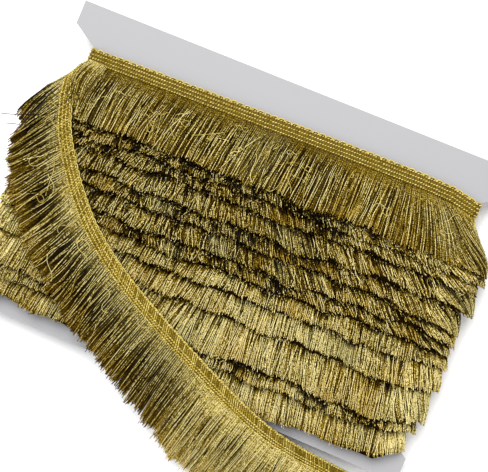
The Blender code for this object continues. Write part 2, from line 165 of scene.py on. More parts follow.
# How far yarns lean towards +X, in degrees, along the front
Lean = namedtuple("Lean", "x top middle low")
LEANS = (
    Lean(-0.170, -2, -5, -5),
    Lean(-0.100, -8, -10, -5),
    Lean(-0.060, -8, 5, -8),
    Lean(-0.020, -4, 15, -8),
    Lean(0.020, -5, 28, 2),
    Lean(0.060, 0, 34, 8),
    Lean(0.100, 2, 40, 12),
    Lean(0.125, 18, 42, 12),
    Lean(0.145, 42, 42, 12),
    Lean(0.165, 56, 42, 12),
)

# Painted light and shade on the yarns along the front: how much brighter or darker they are drawn there
PaintedLight = namedtuple("PaintedLight", "x top middle low")
PAINTED_LIGHT = (
    PaintedLight(-0.170, 1.05, 1.00, 0.94),
    PaintedLight(-0.110, 1.12, 1.14, 1.02),
    PaintedLight(-0.050, 1.12, 1.12, 1.10),
    PaintedLight(0.020, 1.02, 0.92, 1.30),
    PaintedLight(0.060, 1.10, 0.98, 1.36),
    PaintedLight(0.100, 1.14, 1.22, 1.24),
    PaintedLight(0.130, 1.16, 1.10, 1.08),
    PaintedLight(0.165, 1.18, 1.08, 1.10),
)

# Yarns that fan from the left end of the last turn's heading over the start of the loose end, from their
# roots to their tips: the fan's outer line and its inner line.
Fan = namedtuple("Fan", "outer inner")
FAN = (
    Fan((-0.1704, 0.0893, 0.0258), (-0.1540, 0.0890, 0.0275)),
    Fan((-0.1760, 0.0808, 0.0300), (-0.1556, 0.0760, 0.0330)),
    Fan((-0.1762, 0.0690, 0.0410), (-0.1568, 0.0600, 0.0400)),
    Fan((-0.1712, 0.0560, 0.0484), (-0.1570, 0.0450, 0.0430)),
)

# The loose end from the left fold to its cut end, at the middle of the heading. toward is the bearing of
# the heading's fringe side in degrees from +X, dip how far that side hangs down, comb the bearing of the
# fringe, reach its length seen from above, and tip the height of its tips.
Lie = namedtuple("Lie", "x y z toward dip comb reach tip")
LOOSE = (
    Lie(-0.1760, 0.0797, 0.0246, 247, 4, 230, 0.047, 0.0200),
    Lie(-0.1776, 0.0768, 0.0300, 236, 22, 233, 0.049, 0.0240),
    Lie(-0.1774, 0.0708, 0.0368, 210, 30, 237, 0.050, 0.0280),
    Lie(-0.1748, 0.0610, 0.0422, 194, 17, 239, 0.049, 0.0310),
    Lie(-0.1712, 0.0484, 0.0452, 197, 8, 238, 0.050, 0.0345),
    Lie(-0.1630, 0.0263, 0.0462, 206, 4, 231, 0.049, 0.0385),
    Lie(-0.1492, 0.0042, 0.0464, 214, 2, 232, 0.051, 0.0425),
    Lie(-0.1320, -0.0180, 0.0465, 222, 1, 241, 0.053, 0.0442),
    Lie(-0.1110, -0.0397, 0.0465, 229, 1, 247, 0.052, 0.0442),
    Lie(-0.0860, -0.0585, 0.0465, 235, 1, 252, 0.053, 0.0430),
    Lie(-0.0590, -0.0745, 0.0463, 239, 1, 252, 0.053, 0.0400),
    Lie(-0.0295, -0.0894, 0.0460, 242, 1, 252, 0.056, 0.0360),
    Lie(0.0015, -0.1040, 0.0456, 245, 2, 255, 0.060, 0.0300),
    Lie(0.0320, -0.1175, 0.0448, 247, 4, 254, 0.065, 0.0215),
    Lie(0.0620, -0.1300, 0.0415, 250, 8, 254, 0.064, 0.0120),
    Lie(0.0890, -0.1390, 0.0345, 253, 12, 255, 0.060, 0.0050),
    Lie(0.1130, -0.1440, 0.0250, 256, 15, 256, 0.056, 0.0014),
    Lie(0.1340, -0.1470, 0.0160, 258, 14, 257, 0.053, 0.0010),
    Lie(0.1550, -0.1500, 0.0078, 260, 8, 258, 0.052, 0.0007),
    Lie(0.1760, -0.1530, 0.0032, 262, 2, 260, 0.052, 0.0006),
    Lie(0.1900, -0.1548, 0.0020, 263, 0, 261, 0.052, 0.0006),
)
LOOSE_END = len(LOOSE) - 1.0

# How far the loose end's yarns curve along their length, in degrees, at rows of LOOSE
Curve = namedtuple("Curve", "row degrees")
CURVES = (Curve(0, 20), Curve(3, 14), Curve(5, -8), Curve(7, -8), Curve(9, 0))

# The two fringes: the middle spacing of their clumps, how far their roots start under the heading, the span
# of the loop that the last turn's covers, and the stretch of it over which that one grows calmer.
CLUMP = 0.0045
ROOT_TUCK = 0.0012
TOP_SPAN = (-0.004, FRONT + 0.85 * BEND)
CALM_FROM = (0.23, 0.29)

# How thick each fringe lies at its roots, and how much more below them
TOP_ROOTS = 0.0007
TOP_SWELL = 0.0034
LOOSE_ROOTS = 0.0010
LOOSE_SWELL = 0.0028

# The middle tone of the yarns, paler where it is higher: the last turn's, and all the others'
TOP_TONE = 0.24
YARN_TONE = 0.34

# How a fringe's yarns lie over each other. One of every few is on top, dim is the light on the others, over
# and under are how thick both kinds are, and taper how much of that they lose by their tips.
Lay = namedtuple("Lay", "every dim over under taper")
TOP_LAY = Lay(9, 0.36, 0.62, 0.95, 0.12)
FAN_LAY = Lay(6, 0.60, 0.62, 0.95, 0.00)
LOOSE_LAY = Lay(10, 0.24, 0.64, 1.00, 0.10)

# The pile's yarns stand PILE_LIFT over a tier's face where they lie on top, and the deepest PILE_DEPTH lower.
# Their roots hide PILE_TUCK under the last turn's heading or ROOT_HIDDEN under the tips of the tier above.
PILE_LIFT = 0.0013
PILE_DEPTH = 0.0036
PILE_TUCK = 0.0010
ROOT_HIDDEN = 0.0030

# How the yarns of a part of the pile look. stray is how much they lean apart, clump the spacing of their
# clumps, warm their hue and girth their thickness. One of every few lies on top, and dim is the light on
# the others.
Looks = namedtuple("Looks", "stray clump warm girth every dim")
FACE_LOOKS = Looks(0.16, 0.0040, 0.06, 0.80, 6, 0.38)
FOLD_LOOKS = Looks(0.16, 0.0040, 0.02, 0.95, 5, 0.66)
BACK_LOOKS = Looks(0.12, 0.0040, 0.00, 1.30, 3, 0.50)

# One row a piece of the pile: its tiers, its spans of the loop, its yarns in each beside the number that the
# user sets, and the points along each yarn.
Pile = namedtuple("Pile", "piece tiers spans density steps looks")
PILES = (
    Pile("pile_upper_tiers", range(1, 6), (FACE,), 1.15, 5, FACE_LOOKS),
    Pile("pile_lower_tiers", range(6, len(TIERS)), (FACE,), 1.15, 5, FACE_LOOKS),
    Pile("pile_folds", range(len(TIERS)), (RIGHT_FOLD, LEFT_FOLD), 0.20, 4, FOLD_LOOKS),
    Pile("pile_back", range(len(TIERS)), (BACK,), 0.27, 3, BACK_LOOKS),
)

# Cut ends in the grooves between tiers: how many stand on a square metre along each span of the loop, how
# far back and down the yarn behind one goes, how high those at a groove's mouth stand, and how far a groove
# goes on past the painted shade of its cut face.
CUT_ENDS = ((FACE, 0.58e6), (RIGHT_FOLD, 0.80e6), (LEFT_FOLD, 0.80e6))
CUT_BACK = (0.0012, 0.0036)
CUT_DOWN = 0.0040
CUT_HEIGHT = 0.0016
GROOVE_MORE = 0.0010

# The pile's dark inside, a sheet in painted shade under the yarns: how far it lies under the tiers' faces,
# and its sections along each span
CORE_INSET = 0.0022
CORE_SECTIONS = ((FACE, 90), (RIGHT_FOLD, 24), (BACK, 30), (LEFT_FOLD, 24))

# Stray threads over each fringe: their least and greatest length, how far they curl, how high they lie and
# their middle tone. STRAY_GIRTH is their thickness beside a yarn's. Those over the last turn start
# STRAY_INSET or more from the folds, and those over the loose end start between STRAY_ROWS of LOOSE.
Strays = namedtuple("Strays", "length swing lift tone")
TOP_STRAYS = Strays((0.010, 0.030), 1.3, 0.0038, 0.45)
LOOSE_STRAYS = Strays((0.015, 0.035), 1.0, 0.0040, 0.50)
STRAY_GIRTH = (0.50, 0.65)
STRAY_INSET = 0.02
STRAY_ROWS = (3.0, 11.0)

# A yarn's flecks and glints: how strongly flecks colour it, partly as random tone and partly as painted
# glints and shade, how long they are, and how strongly its ply shows as painted highlights and shade
FleckGlint = namedtuple("FleckGlint", "speckle fleck glint")
WOUND_FLECK_GLINT = FleckGlint(3.0, 0.0012, 0.14)
TOP_FLECK_GLINT = FleckGlint(2.1, 0.0012, 0.10)
LOOSE_FLECK_GLINT = FleckGlint(2.3, 0.0016, 0.12)
INLAY_FLECK_GLINT = FleckGlint(0.6, 0.0015, 0.06)
STRAY_FLECK_GLINT = FleckGlint(0.5, 0.0030, 0.04)

# The grey pulp at the board's cut edges
BOARD_PULP = (0.30, 0.29, 0.28, 1.0)

# Where stitches and edge loops ride on a heading: the chains' height as a share of its thickness, the loops'
# share of its width, and their height
CHAIN_HEIGHT = 0.58
PICOT_SHARE = -0.44
PICOT_HEIGHT = 0.0003

# The camera, fitted to the card's straight edges in the photograph's 488 by 472 frame
PHOTO_WIDTH = 488
FOCAL_PIXELS = 1200.0
SENSOR = 36.0
CAMERA_SPOT = (0.10498, -0.00729, 1.00561)
CAMERA_RIGHT = (0.9192165, 0.3833388, -0.0899578)
CAMERA_UP = (-0.3804857, 0.9235582, 0.0476547)


def column(rows, name):
    """One column of a table."""
    return np.array([getattr(row, name) for row in rows], float)


def read(rows, key, at, name):
    """A column of a table, read at values of its key column."""
    return np.interp(at, column(rows, key), column(rows, name))


def normalise(vectors):
    """Vectors at length 1."""
    return vectors / np.linalg.norm(vectors, axis=-1, keepdims=True)


def pointing(bearing):
    """Level vectors at angles from +X."""
    return np.stack([np.cos(bearing), np.sin(bearing), np.zeros_like(bearing)], axis=-1)


def ease(low, high, value):
    """0 below low, 1 above high and a smooth step between them."""
    share = np.clip((value - low) / (high - low), 0.0, 1.0)
    return share * share * (3 - 2 * share)


def smooth_read(values, place):
    """Catmull-Rom reading of rows of values at places from 0 to their last index."""
    values = np.asarray(values, float)
    place = np.clip(np.asarray(place, float), 0.0, len(values) - 1.0)
    index = np.minimum(place.astype(int), len(values) - 2)
    share = place - index
    if values.ndim > 1:
        share = share[..., None]
    before = values[np.maximum(index - 1, 0)]
    start = values[index]
    end = values[index + 1]
    after = values[np.minimum(index + 2, len(values) - 1)]
    return (
        start * (2 * share**3 - 3 * share**2 + 1)
        + (end - before) / 2 * (share**3 - 2 * share**2 + share)
        + end * (3 * share**2 - 2 * share**3)
        + (after - start) / 2 * (share**3 - share**2)
    )


# The winding's form, read for arrays of places

def around(place):
    """Where the loop round the card stands at places along it, and the way it faces, as an angle."""
    place = np.mod(place, LOOP)
    spans = [place < FRONT, place < FRONT + BEND, place < 2 * FRONT + BEND]
    x = np.select(spans, [place - BODY_HALF, BODY_HALF, BODY_HALF - (place - FRONT - BEND)], -BODY_HALF)
    right = math.pi / 2 - math.pi * (place - FRONT) / BEND
    left = -math.pi / 2 - math.pi * (place - 2 * FRONT - BEND) / BEND
    angle = np.select(spans, [math.pi / 2, right, -math.pi / 2], left)
    return x, angle


def stand_off(place, y, front, side):
    """Points front off the card's face, or side off its edge in a fold, and never under the surface."""
    x, angle = around(place)
    swell = 1.0 + (BACK_SWELL - 1.0) * np.maximum(-np.sin(angle), 0.0)
    out = np.cos(angle) * (INNER + side)
    rise = np.sin(angle) * (INNER + front * swell)
    return np.stack([x + out + MIDDLE[0], y + MIDDLE[1], np.maximum(CARD_LEVEL + rise, HAIR)], axis=-1)


def top_edge(place):
    """The y of the winding's upper edge."""
    x, angle = around(place)
    straight = TOP_EDGE[0].y + (TOP_EDGE[-1].y - TOP_EDGE[0].y) * (x + BODY_HALF) / FRONT
    return np.where(np.isclose(angle, math.pi / 2), read(TOP_EDGE, "x", x, "y"), straight)


def band_edge(place):
    """The y of the last turn's upper edge: level with the winding's, then down across the back."""
    drop = np.clip((place - BACK[0]) / FRONT, 0.0, 1.0)
    return top_edge(place) - drop * TURN_STEP


def tip_line(index, place):
    """The y of a tier's tips: a bowed and slightly wavy line."""
    tier = TIERS[index]
    x, angle = around(place)
    share = x / SPREAD
    straight = (tier.left + tier.right) / 2 + share * (tier.right - tier.left) / 2
    bow = tier.middle - (tier.left + tier.right) / 2
    edge = (BODY_HALF / SPREAD) ** 2
    straight = straight + bow * (1 - np.where(np.isclose(angle, math.pi / 2), share**2, edge))
    straight = straight + tier.splay * np.where(x > 0, np.maximum(np.cos(angle), 0.0), 0.0)
    draw = random.Random(100 + index)
    wave = sum(np.sin(2 * math.pi * (turns * place / LOOP + draw.random())) / 2 for turns in WAVE_TURNS)
    return straight + RAGGED_WAVE * wave


def tier_stand(index, place, y):
    """How far a tier's face stands off the card's face and side edge, at a y on it."""
    if index == 0:
        top = top_edge(place)
        share = (top - y) / (top - tip_line(0, place))
        return read(SHOULDER, "share", share, "front"), read(SHOULDER, "share", share, "side")
    above = tip_line(index - 1, place)
    depth = above - tip_line(index, place)
    rise = np.minimum(TIER_RISE, ROOT_RISE * depth)
    share = (above - y) / depth
    fall = np.interp(share, (-0.5, 0.0, BELLY_AT, 1.0), (1.4, 1.0, BELLY_RISE, 0.0)) * rise
    return TIERS[index].front - fall, TIERS[index].side - fall


def lean_at(index, place):
    """How far a tier's yarns lean along the loop for each metre that they come down."""
    x, angle = around(place)
    lean = read(LEANS, "x", x, TIERS[index].lie) * ease(-1.0, 1.0, np.sin(angle))
    return np.tan(np.radians(lean))


def painted_light_at(index, place):
    """The painted light and shade on a tier's yarns along the loop."""
    x, angle = around(place)
    return 1.0 + (read(PAINTED_LIGHT, "x", x, TIERS[index].lie) - 1.0) * ease(-1.0, 0.0, np.sin(angle))


def worn_line(index, place):
    """A tier's tip line with the uneven stretches of handled fringe."""
    return tip_line(index, place) + WORN_WAVE * drift(np.random.default_rng(200 + index), place, WORN_LENGTH)


def faded(index, place):
    """How much of the painted shade of the cut faces is left towards the folds, where the low tiers lie flat
    on the left and the first tiers on the right."""
    x, angle = around(place)
    if TIERS[index].lie == "low":
        return 0.25 + 0.75 * ease(-0.165, -0.090, x - 0.02 * np.cos(angle) * (x < 0))
    if index in FADED_RIGHT:
        return 1.0 - 0.65 * ease(0.075, 0.120, x)
    return 1.0


# The two headings as ribbons

Ribbon = namedtuple("Ribbon", "middle along across facing")


def last_turn_ribbon(place):
    """The last turn's heading round the card: its middle, and the ways it runs, crosses and faces."""
    def edges(at):
        upper = band_edge(at) - HAIR / 2
        points = []
        for y in (upper, upper - HEADING_WIDTH):
            front, side = tier_stand(0, at, y)
            lift = HAIR + HEADING_THICKNESS / 2
            points.append(stand_off(at, y, front + lift, side + lift))
        return points

    step = 0.0004
    upper, lower = edges(place)
    along = normalise(sum(edges(place + step)) - sum(edges(place - step)))
    across = normalise(lower - upper)
    return Ribbon((upper + lower) / 2, along, across, normalise(np.cross(across, along)))


def loose_read(name, place):
    """A column of LOOSE, read smoothly."""
    return smooth_read(column(LOOSE, name), place)


def loose_ribbon(place):
    """The loose end's heading from the left fold to its cut end."""
    spots = np.stack([column(LOOSE, "x"), column(LOOSE, "y"), column(LOOSE, "z")], axis=-1)
    step = 0.02
    along = normalise(smooth_read(spots, place + step) - smooth_read(spots, place - step))
    bearing = np.radians(loose_read("toward", place))
    dip = np.radians(loose_read("dip", place))
    across = np.stack([np.cos(bearing) * np.cos(dip), np.sin(bearing) * np.cos(dip), -np.sin(dip)], axis=-1)
    across = normalise(across - along * np.sum(across * along, axis=-1, keepdims=True))
    return Ribbon(smooth_read(spots, place) + MIDDLE, along, across, normalise(np.cross(across, along)))


def even_places(ribbon, start, end, count):
    """Places that part a ribbon's real length into count equal steps, and that length."""
    fine = np.linspace(start, end, 2400)
    middle = ribbon(fine).middle
    run = np.concatenate([[0.0], np.cumsum(np.linalg.norm(np.diff(middle, axis=0), axis=1))])
    return np.interp(np.linspace(0.0, run[-1], count + 1), run, fine), run[-1]


# Yarns as guide lines with what their points carry

Yarns = namedtuple("Yarns", "points girth tone shade warm")

# What a yarn's clump gives it: the way and the strength of its pull, and the tone and reach that it shares
Clump = namedtuple("Clump", "way pull tone reach")

# How yarns lie over each other: their depth from 0 on top to 1, which are on top, and the light on each
Layers = namedtuple("Layers", "depth top light")


def gather(draw, place, spacing):
    """Gathers yarns into uneven clumps."""
    count = int(1.4 * (place.max() - place.min()) / spacing) + 8
    middles = place.min() - spacing + np.cumsum(spacing * draw.uniform(0.35, 1.65, count))
    own = np.searchsorted((middles[1:] + middles[:-1]) / 2, place)
    tone, reach, _ = draw.normal(size=(3, count))
    pull = draw.random(count)
    return Clump(middles[own] - place, pull[own], tone[own], reach[own])


def waves(draw, place, share, size):
    """Sideways waves of curly yarns: each one's own, and one that drifts from neighbour to neighbour."""
    count = len(place)
    turns = draw.uniform(0.8, 2.4, (count, 1)) * share + draw.random((count, 1))
    own = draw.normal(size=(count, 1)) * np.sin(2 * math.pi * turns)
    phase = 0.35 * drift(draw, place, length=0.018)[:, None]
    both = drift(draw, place, length=0.018)[:, None] * np.sin(2 * math.pi * (0.8 * share + phase))
    return size * (0.55 * own + 0.70 * both) * ease(0.0, 0.35, share)


def layered(draw, count, every, dim):
    """Lays one of every few yarns on top. The light on the others is about dim, less on the deeper ones."""
    number = np.arange(count)
    slip = max(1, every // 8)
    chosen = every // 2 + draw.integers(-slip, slip + 1, count // every + 1)
    top = number % every == chosen[number // every]
    depth = np.where(top, 0.0, draw.uniform(0.2, 1.0, count))
    under = dim * (1.35 - 0.7 * depth) * draw.uniform(0.4, 1.6, count)
    return Layers(depth, top, np.where(top, draw.uniform(0.82, 1.28, count), under))


def partings(draw, layers, share, often):
    """Paints shade along a few yarns raised to the top, for the dark where their neighbours part: the layers
    with those yarns raised, and the light along all of them."""
    count = len(layers.depth)
    chosen = draw.random(count) < often
    middle = draw.uniform(0.15, 0.90, (count, 1))
    half = draw.uniform(0.12, 0.30, (count, 1))
    near = 1.0 - ease(0.55, 1.0, np.abs(share - middle) / half)
    return layers._replace(depth=np.where(chosen, 0.0, layers.depth)), 1.0 - 0.88 * chosen[:, None] * near


def surfacing(draw, count, share, depth):
    """How the light on yarns comes and goes along them, as they rise to the top and sink under others."""
    turns = draw.uniform(0.9, 2.4, (count, 1)) * share + draw.random((count, 1))
    return 1.0 + depth * np.sin(2 * math.pi * turns) * ease(0.05, 0.3, share)


def girths(draw, top, lay, share):
    """How thick a fringe's yarns are along them, beside the yarn that the user sets."""
    girth = np.where(top, lay.over, lay.under) * draw.uniform(0.85, 1.15, len(top))
    return np.outer(girth, 1.0 - lay.taper * share)


def drift(draw, place, length):
    """A smooth random value along the loop or a heading, whose rises and falls are about length long."""
    values = draw.normal(size=int(LOOP / length) + 4)
    return smooth_read(values, np.mod(place, LOOP) / length)


def spread_evenly(draw, start, end, count):
    """Places from start to end, one in each of count equal steps."""
    return start + (end - start) * (np.arange(count) + draw.random(count)) / count


def show(name, data):
    """A new object in the scene."""
    item = bpy.data.objects.new(name, data)
    bpy.context.collection.objects.link(item)
    return item


def points_mesh(name, points):
    """A mesh of loose points."""
    mesh = bpy.data.meshes.new(name)
    mesh.vertices.add(len(points))
    mesh.vertices.foreach_set("co", points.astype(np.float32).ravel())
    return mesh


def carry(mesh, key, values):
    """Writes a number or a vector on each point of a mesh."""
    kind, field = ("FLOAT_VECTOR", "vector") if values.ndim > 1 else ("FLOAT", "value")
    attribute = mesh.attributes.new(key, kind, "POINT")
    attribute.data.foreach_set(field, values.astype(np.float32).ravel())


def guide_lines(name, groups):
    """An object of edge chains, one for each yarn, whose points carry the yarns' values."""
    mesh = points_mesh(name, np.concatenate([group.points.reshape(-1, 3) for group in groups]))
    values = {key: [] for key in ("along", "girth", "tone", "shade", "warm")}
    edges = []
    start = 0
    for group in groups:
        count, steps = group.points.shape[:2]
        first = start + (np.arange(count)[:, None] * steps + np.arange(steps - 1)[None, :]).ravel()
        edges.append(np.stack([first, first + 1], axis=-1))
        start += count * steps
        strides = np.linalg.norm(np.diff(group.points, axis=1), axis=-1)
        values["along"].append(np.pad(np.cumsum(strides, axis=1), ((0, 0), (1, 0))).ravel())
        for key in ("girth", "tone", "shade", "warm"):
            values[key].append(np.broadcast_to(getattr(group, key), (count, steps)).ravel())
    edges = np.concatenate(edges)
    mesh.edges.add(len(edges))
    mesh.edges.foreach_set("vertices", edges.astype(np.int32).ravel())
    for key, parts in values.items():
        carry(mesh, key, np.concatenate(parts))
    return show(name, mesh)


def mark_points(name, ribbon, share, lift):
    """An object of single points on a ribbon, which carry the ways it runs and faces."""
    spots = ribbon.middle + ribbon.across * (share * HEADING_WIDTH)[:, None] + ribbon.facing * lift
    mesh = points_mesh(name, spots)
    carry(mesh, "runs", ribbon.along)
    carry(mesh, "faces", ribbon.facing)
    return show(name, mesh)


# Node trees

class Wire:
    """One output of a tree's nodes. Python's operators on it add Math nodes."""

    def __init__(self, tree, socket):
        self.tree = tree
        self.socket = socket

    def maths(self, operation, *values):
        return self.tree.node("ShaderNodeMath", {"operation": operation}, dict(enumerate(values)))

    def __add__(self, other):
        return self.maths("ADD", self, other)

    __radd__ = __add__

    def __sub__(self, other):
        return self.maths("SUBTRACT", self, other)

    def __rsub__(self, other):
        return self.maths("SUBTRACT", other, self)

    def __mul__(self, other):
        return self.maths("MULTIPLY", self, other)

    __rmul__ = __mul__

    def __pow__(self, other):
        return self.maths("POWER", self, other)

    def __abs__(self):
        return self.maths("ABSOLUTE", self)

    def sine(self):
        return self.maths("SINE", self)


class Tree:
    """A node tree that is built in Python. node() adds any node and gives its output as a Wire."""

    def __init__(self, tree):
        self.tree = tree

    def node(self, kind, settings=None, sockets=None, output=0):
        made = self.tree.nodes.new(kind)
        for name, value in (settings or {}).items():
            if name == "stops":
                self.set_stops(made.color_ramp, value)
            else:
                setattr(made, name, value)
        for key, value in (sockets or {}).items():
            if isinstance(value, Wire):
                self.tree.links.new(value.socket, made.inputs[key])
            else:
                made.inputs[key].default_value = value
        return Wire(self, made.outputs[output])

    @staticmethod
    def set_stops(ramp, stops):
        while len(ramp.elements) < len(stops):
            ramp.elements.new(1.0)
        for element, (position, colour) in zip(ramp.elements, stops):
            element.position = position
            element.color = opaque(colour)

    def feed(self, shader, **wires):
        """Links wires to a shader's sockets of these names."""
        for key, wire in wires.items():
            self.tree.links.new(wire.socket, shader.inputs[key.replace("_", " ")])

    def spot(self):
        """Object coordinates."""
        return self.node("ShaderNodeTexCoord", output="Object")

    def attribute(self, name):
        return self.node("ShaderNodeAttribute", {"attribute_name": name}, output="Fac")

    def named(self, name, kind):
        """A geometry tree's reading of a point's value."""
        return self.node("GeometryNodeInputNamedAttribute", {"data_type": kind}, {"Name": name})

    def combine(self, x, y, z=0.0):
        return self.node("ShaderNodeCombineXYZ", sockets={0: x, 1: y, 2: z})

    def part(self, vector, axis):
        return self.node("ShaderNodeSeparateXYZ", sockets={0: vector}, output=axis)

    def clamp(self, value):
        return self.node("ShaderNodeClamp", sockets={0: value})

    def noise(self, vector, scale, detail):
        sockets = {"Vector": vector, "Scale": scale, "Detail": detail}
        return self.node("ShaderNodeTexNoise", sockets=sockets, output="Fac")

    def bump(self, height, strength, distance):
        sockets = {"Height": height, "Strength": strength, "Distance": distance}
        return self.node("ShaderNodeBump", sockets=sockets)

    def ramp(self, level, stops):
        return self.node("ShaderNodeValToRGB", {"stops": stops}, {"Fac": level}, output="Color")

    def mix(self, share, first, second):
        """A colour between two colours."""
        sockets = {"Factor": share, 6: first, 7: second}
        return self.node("ShaderNodeMix", {"data_type": "RGBA"}, sockets, output=2)

    def scale(self, colour, by):
        return self.node("ShaderNodeVectorMath", {"operation": "SCALE"}, {0: colour, "Scale": by})


def new_material(name, roughness, **constants):
    """A material whose Principled shader has its constants set, its tree, and that shader."""
    material = bpy.data.materials.new(name)
    material.use_nodes = True
    shader = material.node_tree.nodes["Principled BSDF"]
    shader.inputs["Roughness"].default_value = roughness
    for key, value in constants.items():
        shader.inputs[key.replace("_", " ")].default_value = value
    return material, Tree(material.node_tree), shader


def opaque(colour):
    """A colour with its alpha."""
    return (*colour, 1.0)


def yarn_material(name, colours, fleck_glint):
    """Twisted yarn: its tone, painted shade between yarns, warm or pale ends, flecks along it that are partly
    random tone and partly painted glints, and the ply's slanted stripes of painted highlight and shade."""
    material, tree, shader = new_material(name, 0.42, Specular_IOR_Level=0.08, Metallic=0.3)
    tone, shade, warm, along = (tree.attribute(key) for key in ("tone", "shade", "warm", "along"))
    fleck = tree.noise(tree.combine(along * (1.0 / fleck_glint.fleck), tone * 15.0), scale=1.0, detail=1.0)
    turns = 2 * math.pi / colours.twist
    # The ply's twist: painted highlights and shade along the yarn, and a bump
    ply = (along * turns + tone * 30.0 + tree.part(tree.spot(), "X") * (0.6 * turns)).sine()
    level = (tone * 0.42 + 0.56 + (fleck - 0.5) * fleck_glint.speckle + ply * fleck_glint.glint) * shade
    stops = (
        (0.00, (0.0, 0.0, 0.0)),
        (0.16, colours.deep),
        (0.36, colours.brown),
        (0.60, colours.gold),
        (0.85, colours.straw),
        (1.00, colours.pale),
    )
    base = tree.ramp(level, stops)
    lit = tree.clamp(level * 1.6)
    base = tree.mix(tree.clamp(warm * 0.75), base, tree.scale(tuple(colours.amber), lit))
    base = tree.mix(tree.clamp(warm * -0.75), base, tree.scale(tuple(colours.sage), lit))
    tree.feed(shader, Base_Color=base, Normal=tree.bump(ply, strength=0.35, distance=0.0002))
    return material


def stitch_material(name, colours):
    """Chain-stitch thread, with fine and broad patches of its colours."""
    material, tree, shader = new_material(name, 0.40, Specular_IOR_Level=0.10, Metallic=0.3)
    ply = tree.noise(tree.spot(), scale=1500.0, detail=1.0)
    broad = tree.noise(tree.spot(), scale=120.0, detail=2.0)
    level = ply * 0.60 + broad * 0.20 + tree.attribute("tone") * 0.12 + 0.20
    stops = ((0.10, colours.brown), (0.40, colours.gold), (0.85, colours.straw))
    lift = tree.bump(ply, strength=0.4, distance=0.0002)
    tree.feed(shader, Base_Color=tree.ramp(level, stops), Normal=lift)
    return material


def band_material(name, colours, fill):
    """The ground of a heading, between its chains and inlaid yarns, darkened partly as painted shade there.
    """
    material, tree, shader = new_material(name, 0.6, Specular_IOR_Level=0.05)
    fine = tree.noise(tree.spot(), scale=1100.0, detail=2.0)
    base = tree.mix(fine * fill, opaque(colours.deep), opaque(colours.gold))
    tree.feed(shader, Base_Color=base, Normal=tree.bump(fine, strength=0.6, distance=0.0003))
    return material


def shaded_core_material(name, colours):
    """The dark between the pile's yarns, painted as shade: fibres combed the way they lie."""
    material, tree, shader = new_material(name, 0.85, Specular_IOR_Level=0.02)
    comb = tree.node("ShaderNodeMapping", sockets={"Vector": tree.spot(), "Scale": (1400.0, 130.0, 500.0)})
    fibre = tree.noise(comb, scale=1.0, detail=2.0)
    dark = tree.mix(fibre ** 3.0, opaque(colours.deep), opaque(colours.brown))
    lift = tree.bump(fibre, strength=0.6, distance=0.0006)
    # Darkened further as painted shade
    tree.feed(shader, Base_Color=tree.scale(dark, 0.35), Normal=lift)
    return material


def board_material(name, colours):
    """Smooth coated board, whose cut edges show its pulp."""
    material, tree, shader = new_material(name, 0.5)
    mottle = tree.noise(tree.spot(), scale=26.0, detail=4.0)
    fibre = tree.noise(tree.spot(), scale=2200.0, detail=2.0)
    edge = 1.0 - abs(tree.part(tree.node("ShaderNodeNewGeometry", output="Normal"), "Z"))
    base = tree.scale(tuple(colours.board), 0.94 + mottle * 0.10 + fibre * 0.02)
    base = tree.mix(edge * 0.8, base, BOARD_PULP)
    lift = tree.bump(fibre, strength=0.12, distance=0.0001)
    tree.feed(shader, Base_Color=base, Roughness=0.42 + mottle * 0.16, Normal=lift)
    return material


def new_tree(name, **inputs):
    """A geometry tree with named inputs and a Material input, its builder, and the wires of its inputs."""
    tree = bpy.data.node_groups.new(name, "GeometryNodeTree")
    tree.interface.new_socket(name="Geometry", in_out="INPUT", socket_type="NodeSocketGeometry")
    tree.interface.new_socket(name="Geometry", in_out="OUTPUT", socket_type="NodeSocketGeometry")
    for label, kind in {**inputs, "Material": "Material"}.items():
        tree.interface.new_socket(name=label, in_out="INPUT", socket_type="NodeSocket" + kind)
    builder = Tree(tree)
    entry = tree.nodes.new("NodeGroupInput")
    wires = {socket.name: Wire(builder, socket) for socket in entry.outputs if socket.name}
    return tree, builder, wires


def finish_tree(builder, shape, wires):
    """Realises what a tree has placed, gives it its material and sends it out."""
    shape = builder.node("GeometryNodeRealizeInstances", sockets={"Geometry": shape})
    shape = builder.node("GeometryNodeSetShadeSmooth", sockets={"Geometry": shape})
    sockets = {"Geometry": shape, "Material": wires["Material"]}
    shape = builder.node("GeometryNodeSetMaterial", sockets=sockets)
    way_out = builder.tree.nodes.new("NodeGroupOutput")
    builder.tree.links.new(shape.socket, way_out.inputs["Geometry"])


def round_section(builder, thickness, sides):
    """The round section of a yarn."""
    section = {"Resolution": sides, "Radius": thickness * 0.5}
    return builder.node("GeometryNodeCurvePrimitiveCircle", sockets=section)


def spun_yarn_tree():
    """Guide lines become closed yarns, as thick as their girth says."""
    tree, builder, wires = new_tree("spun_yarn", Thickness="Float", Sides="Int")
    tube = {
        "Curve": builder.node("GeometryNodeMeshToCurve", sockets={"Mesh": wires["Geometry"]}),
        "Profile Curve": round_section(builder, wires["Thickness"], wires["Sides"]),
        "Scale": builder.named("girth", "FLOAT"),
        "Fill Caps": True,
    }
    finish_tree(builder, builder.node("GeometryNodeCurveToMesh", sockets=tube), wires)
    return tree


def placed(builder, wires, instance):
    """Puts an instance on each point, its X the way the ribbon runs and its Z the way it faces."""
    ways = {0: builder.named("faces", "FLOAT_VECTOR"), 1: builder.named("runs", "FLOAT_VECTOR")}
    turn = builder.node("FunctionNodeAxesToRotation", {"primary_axis": "Z", "secondary_axis": "X"}, ways)
    places = {"Points": wires["Geometry"], "Instance": instance, "Rotation": turn}
    return builder.node("GeometryNodeInstanceOnPoints", sockets=places)


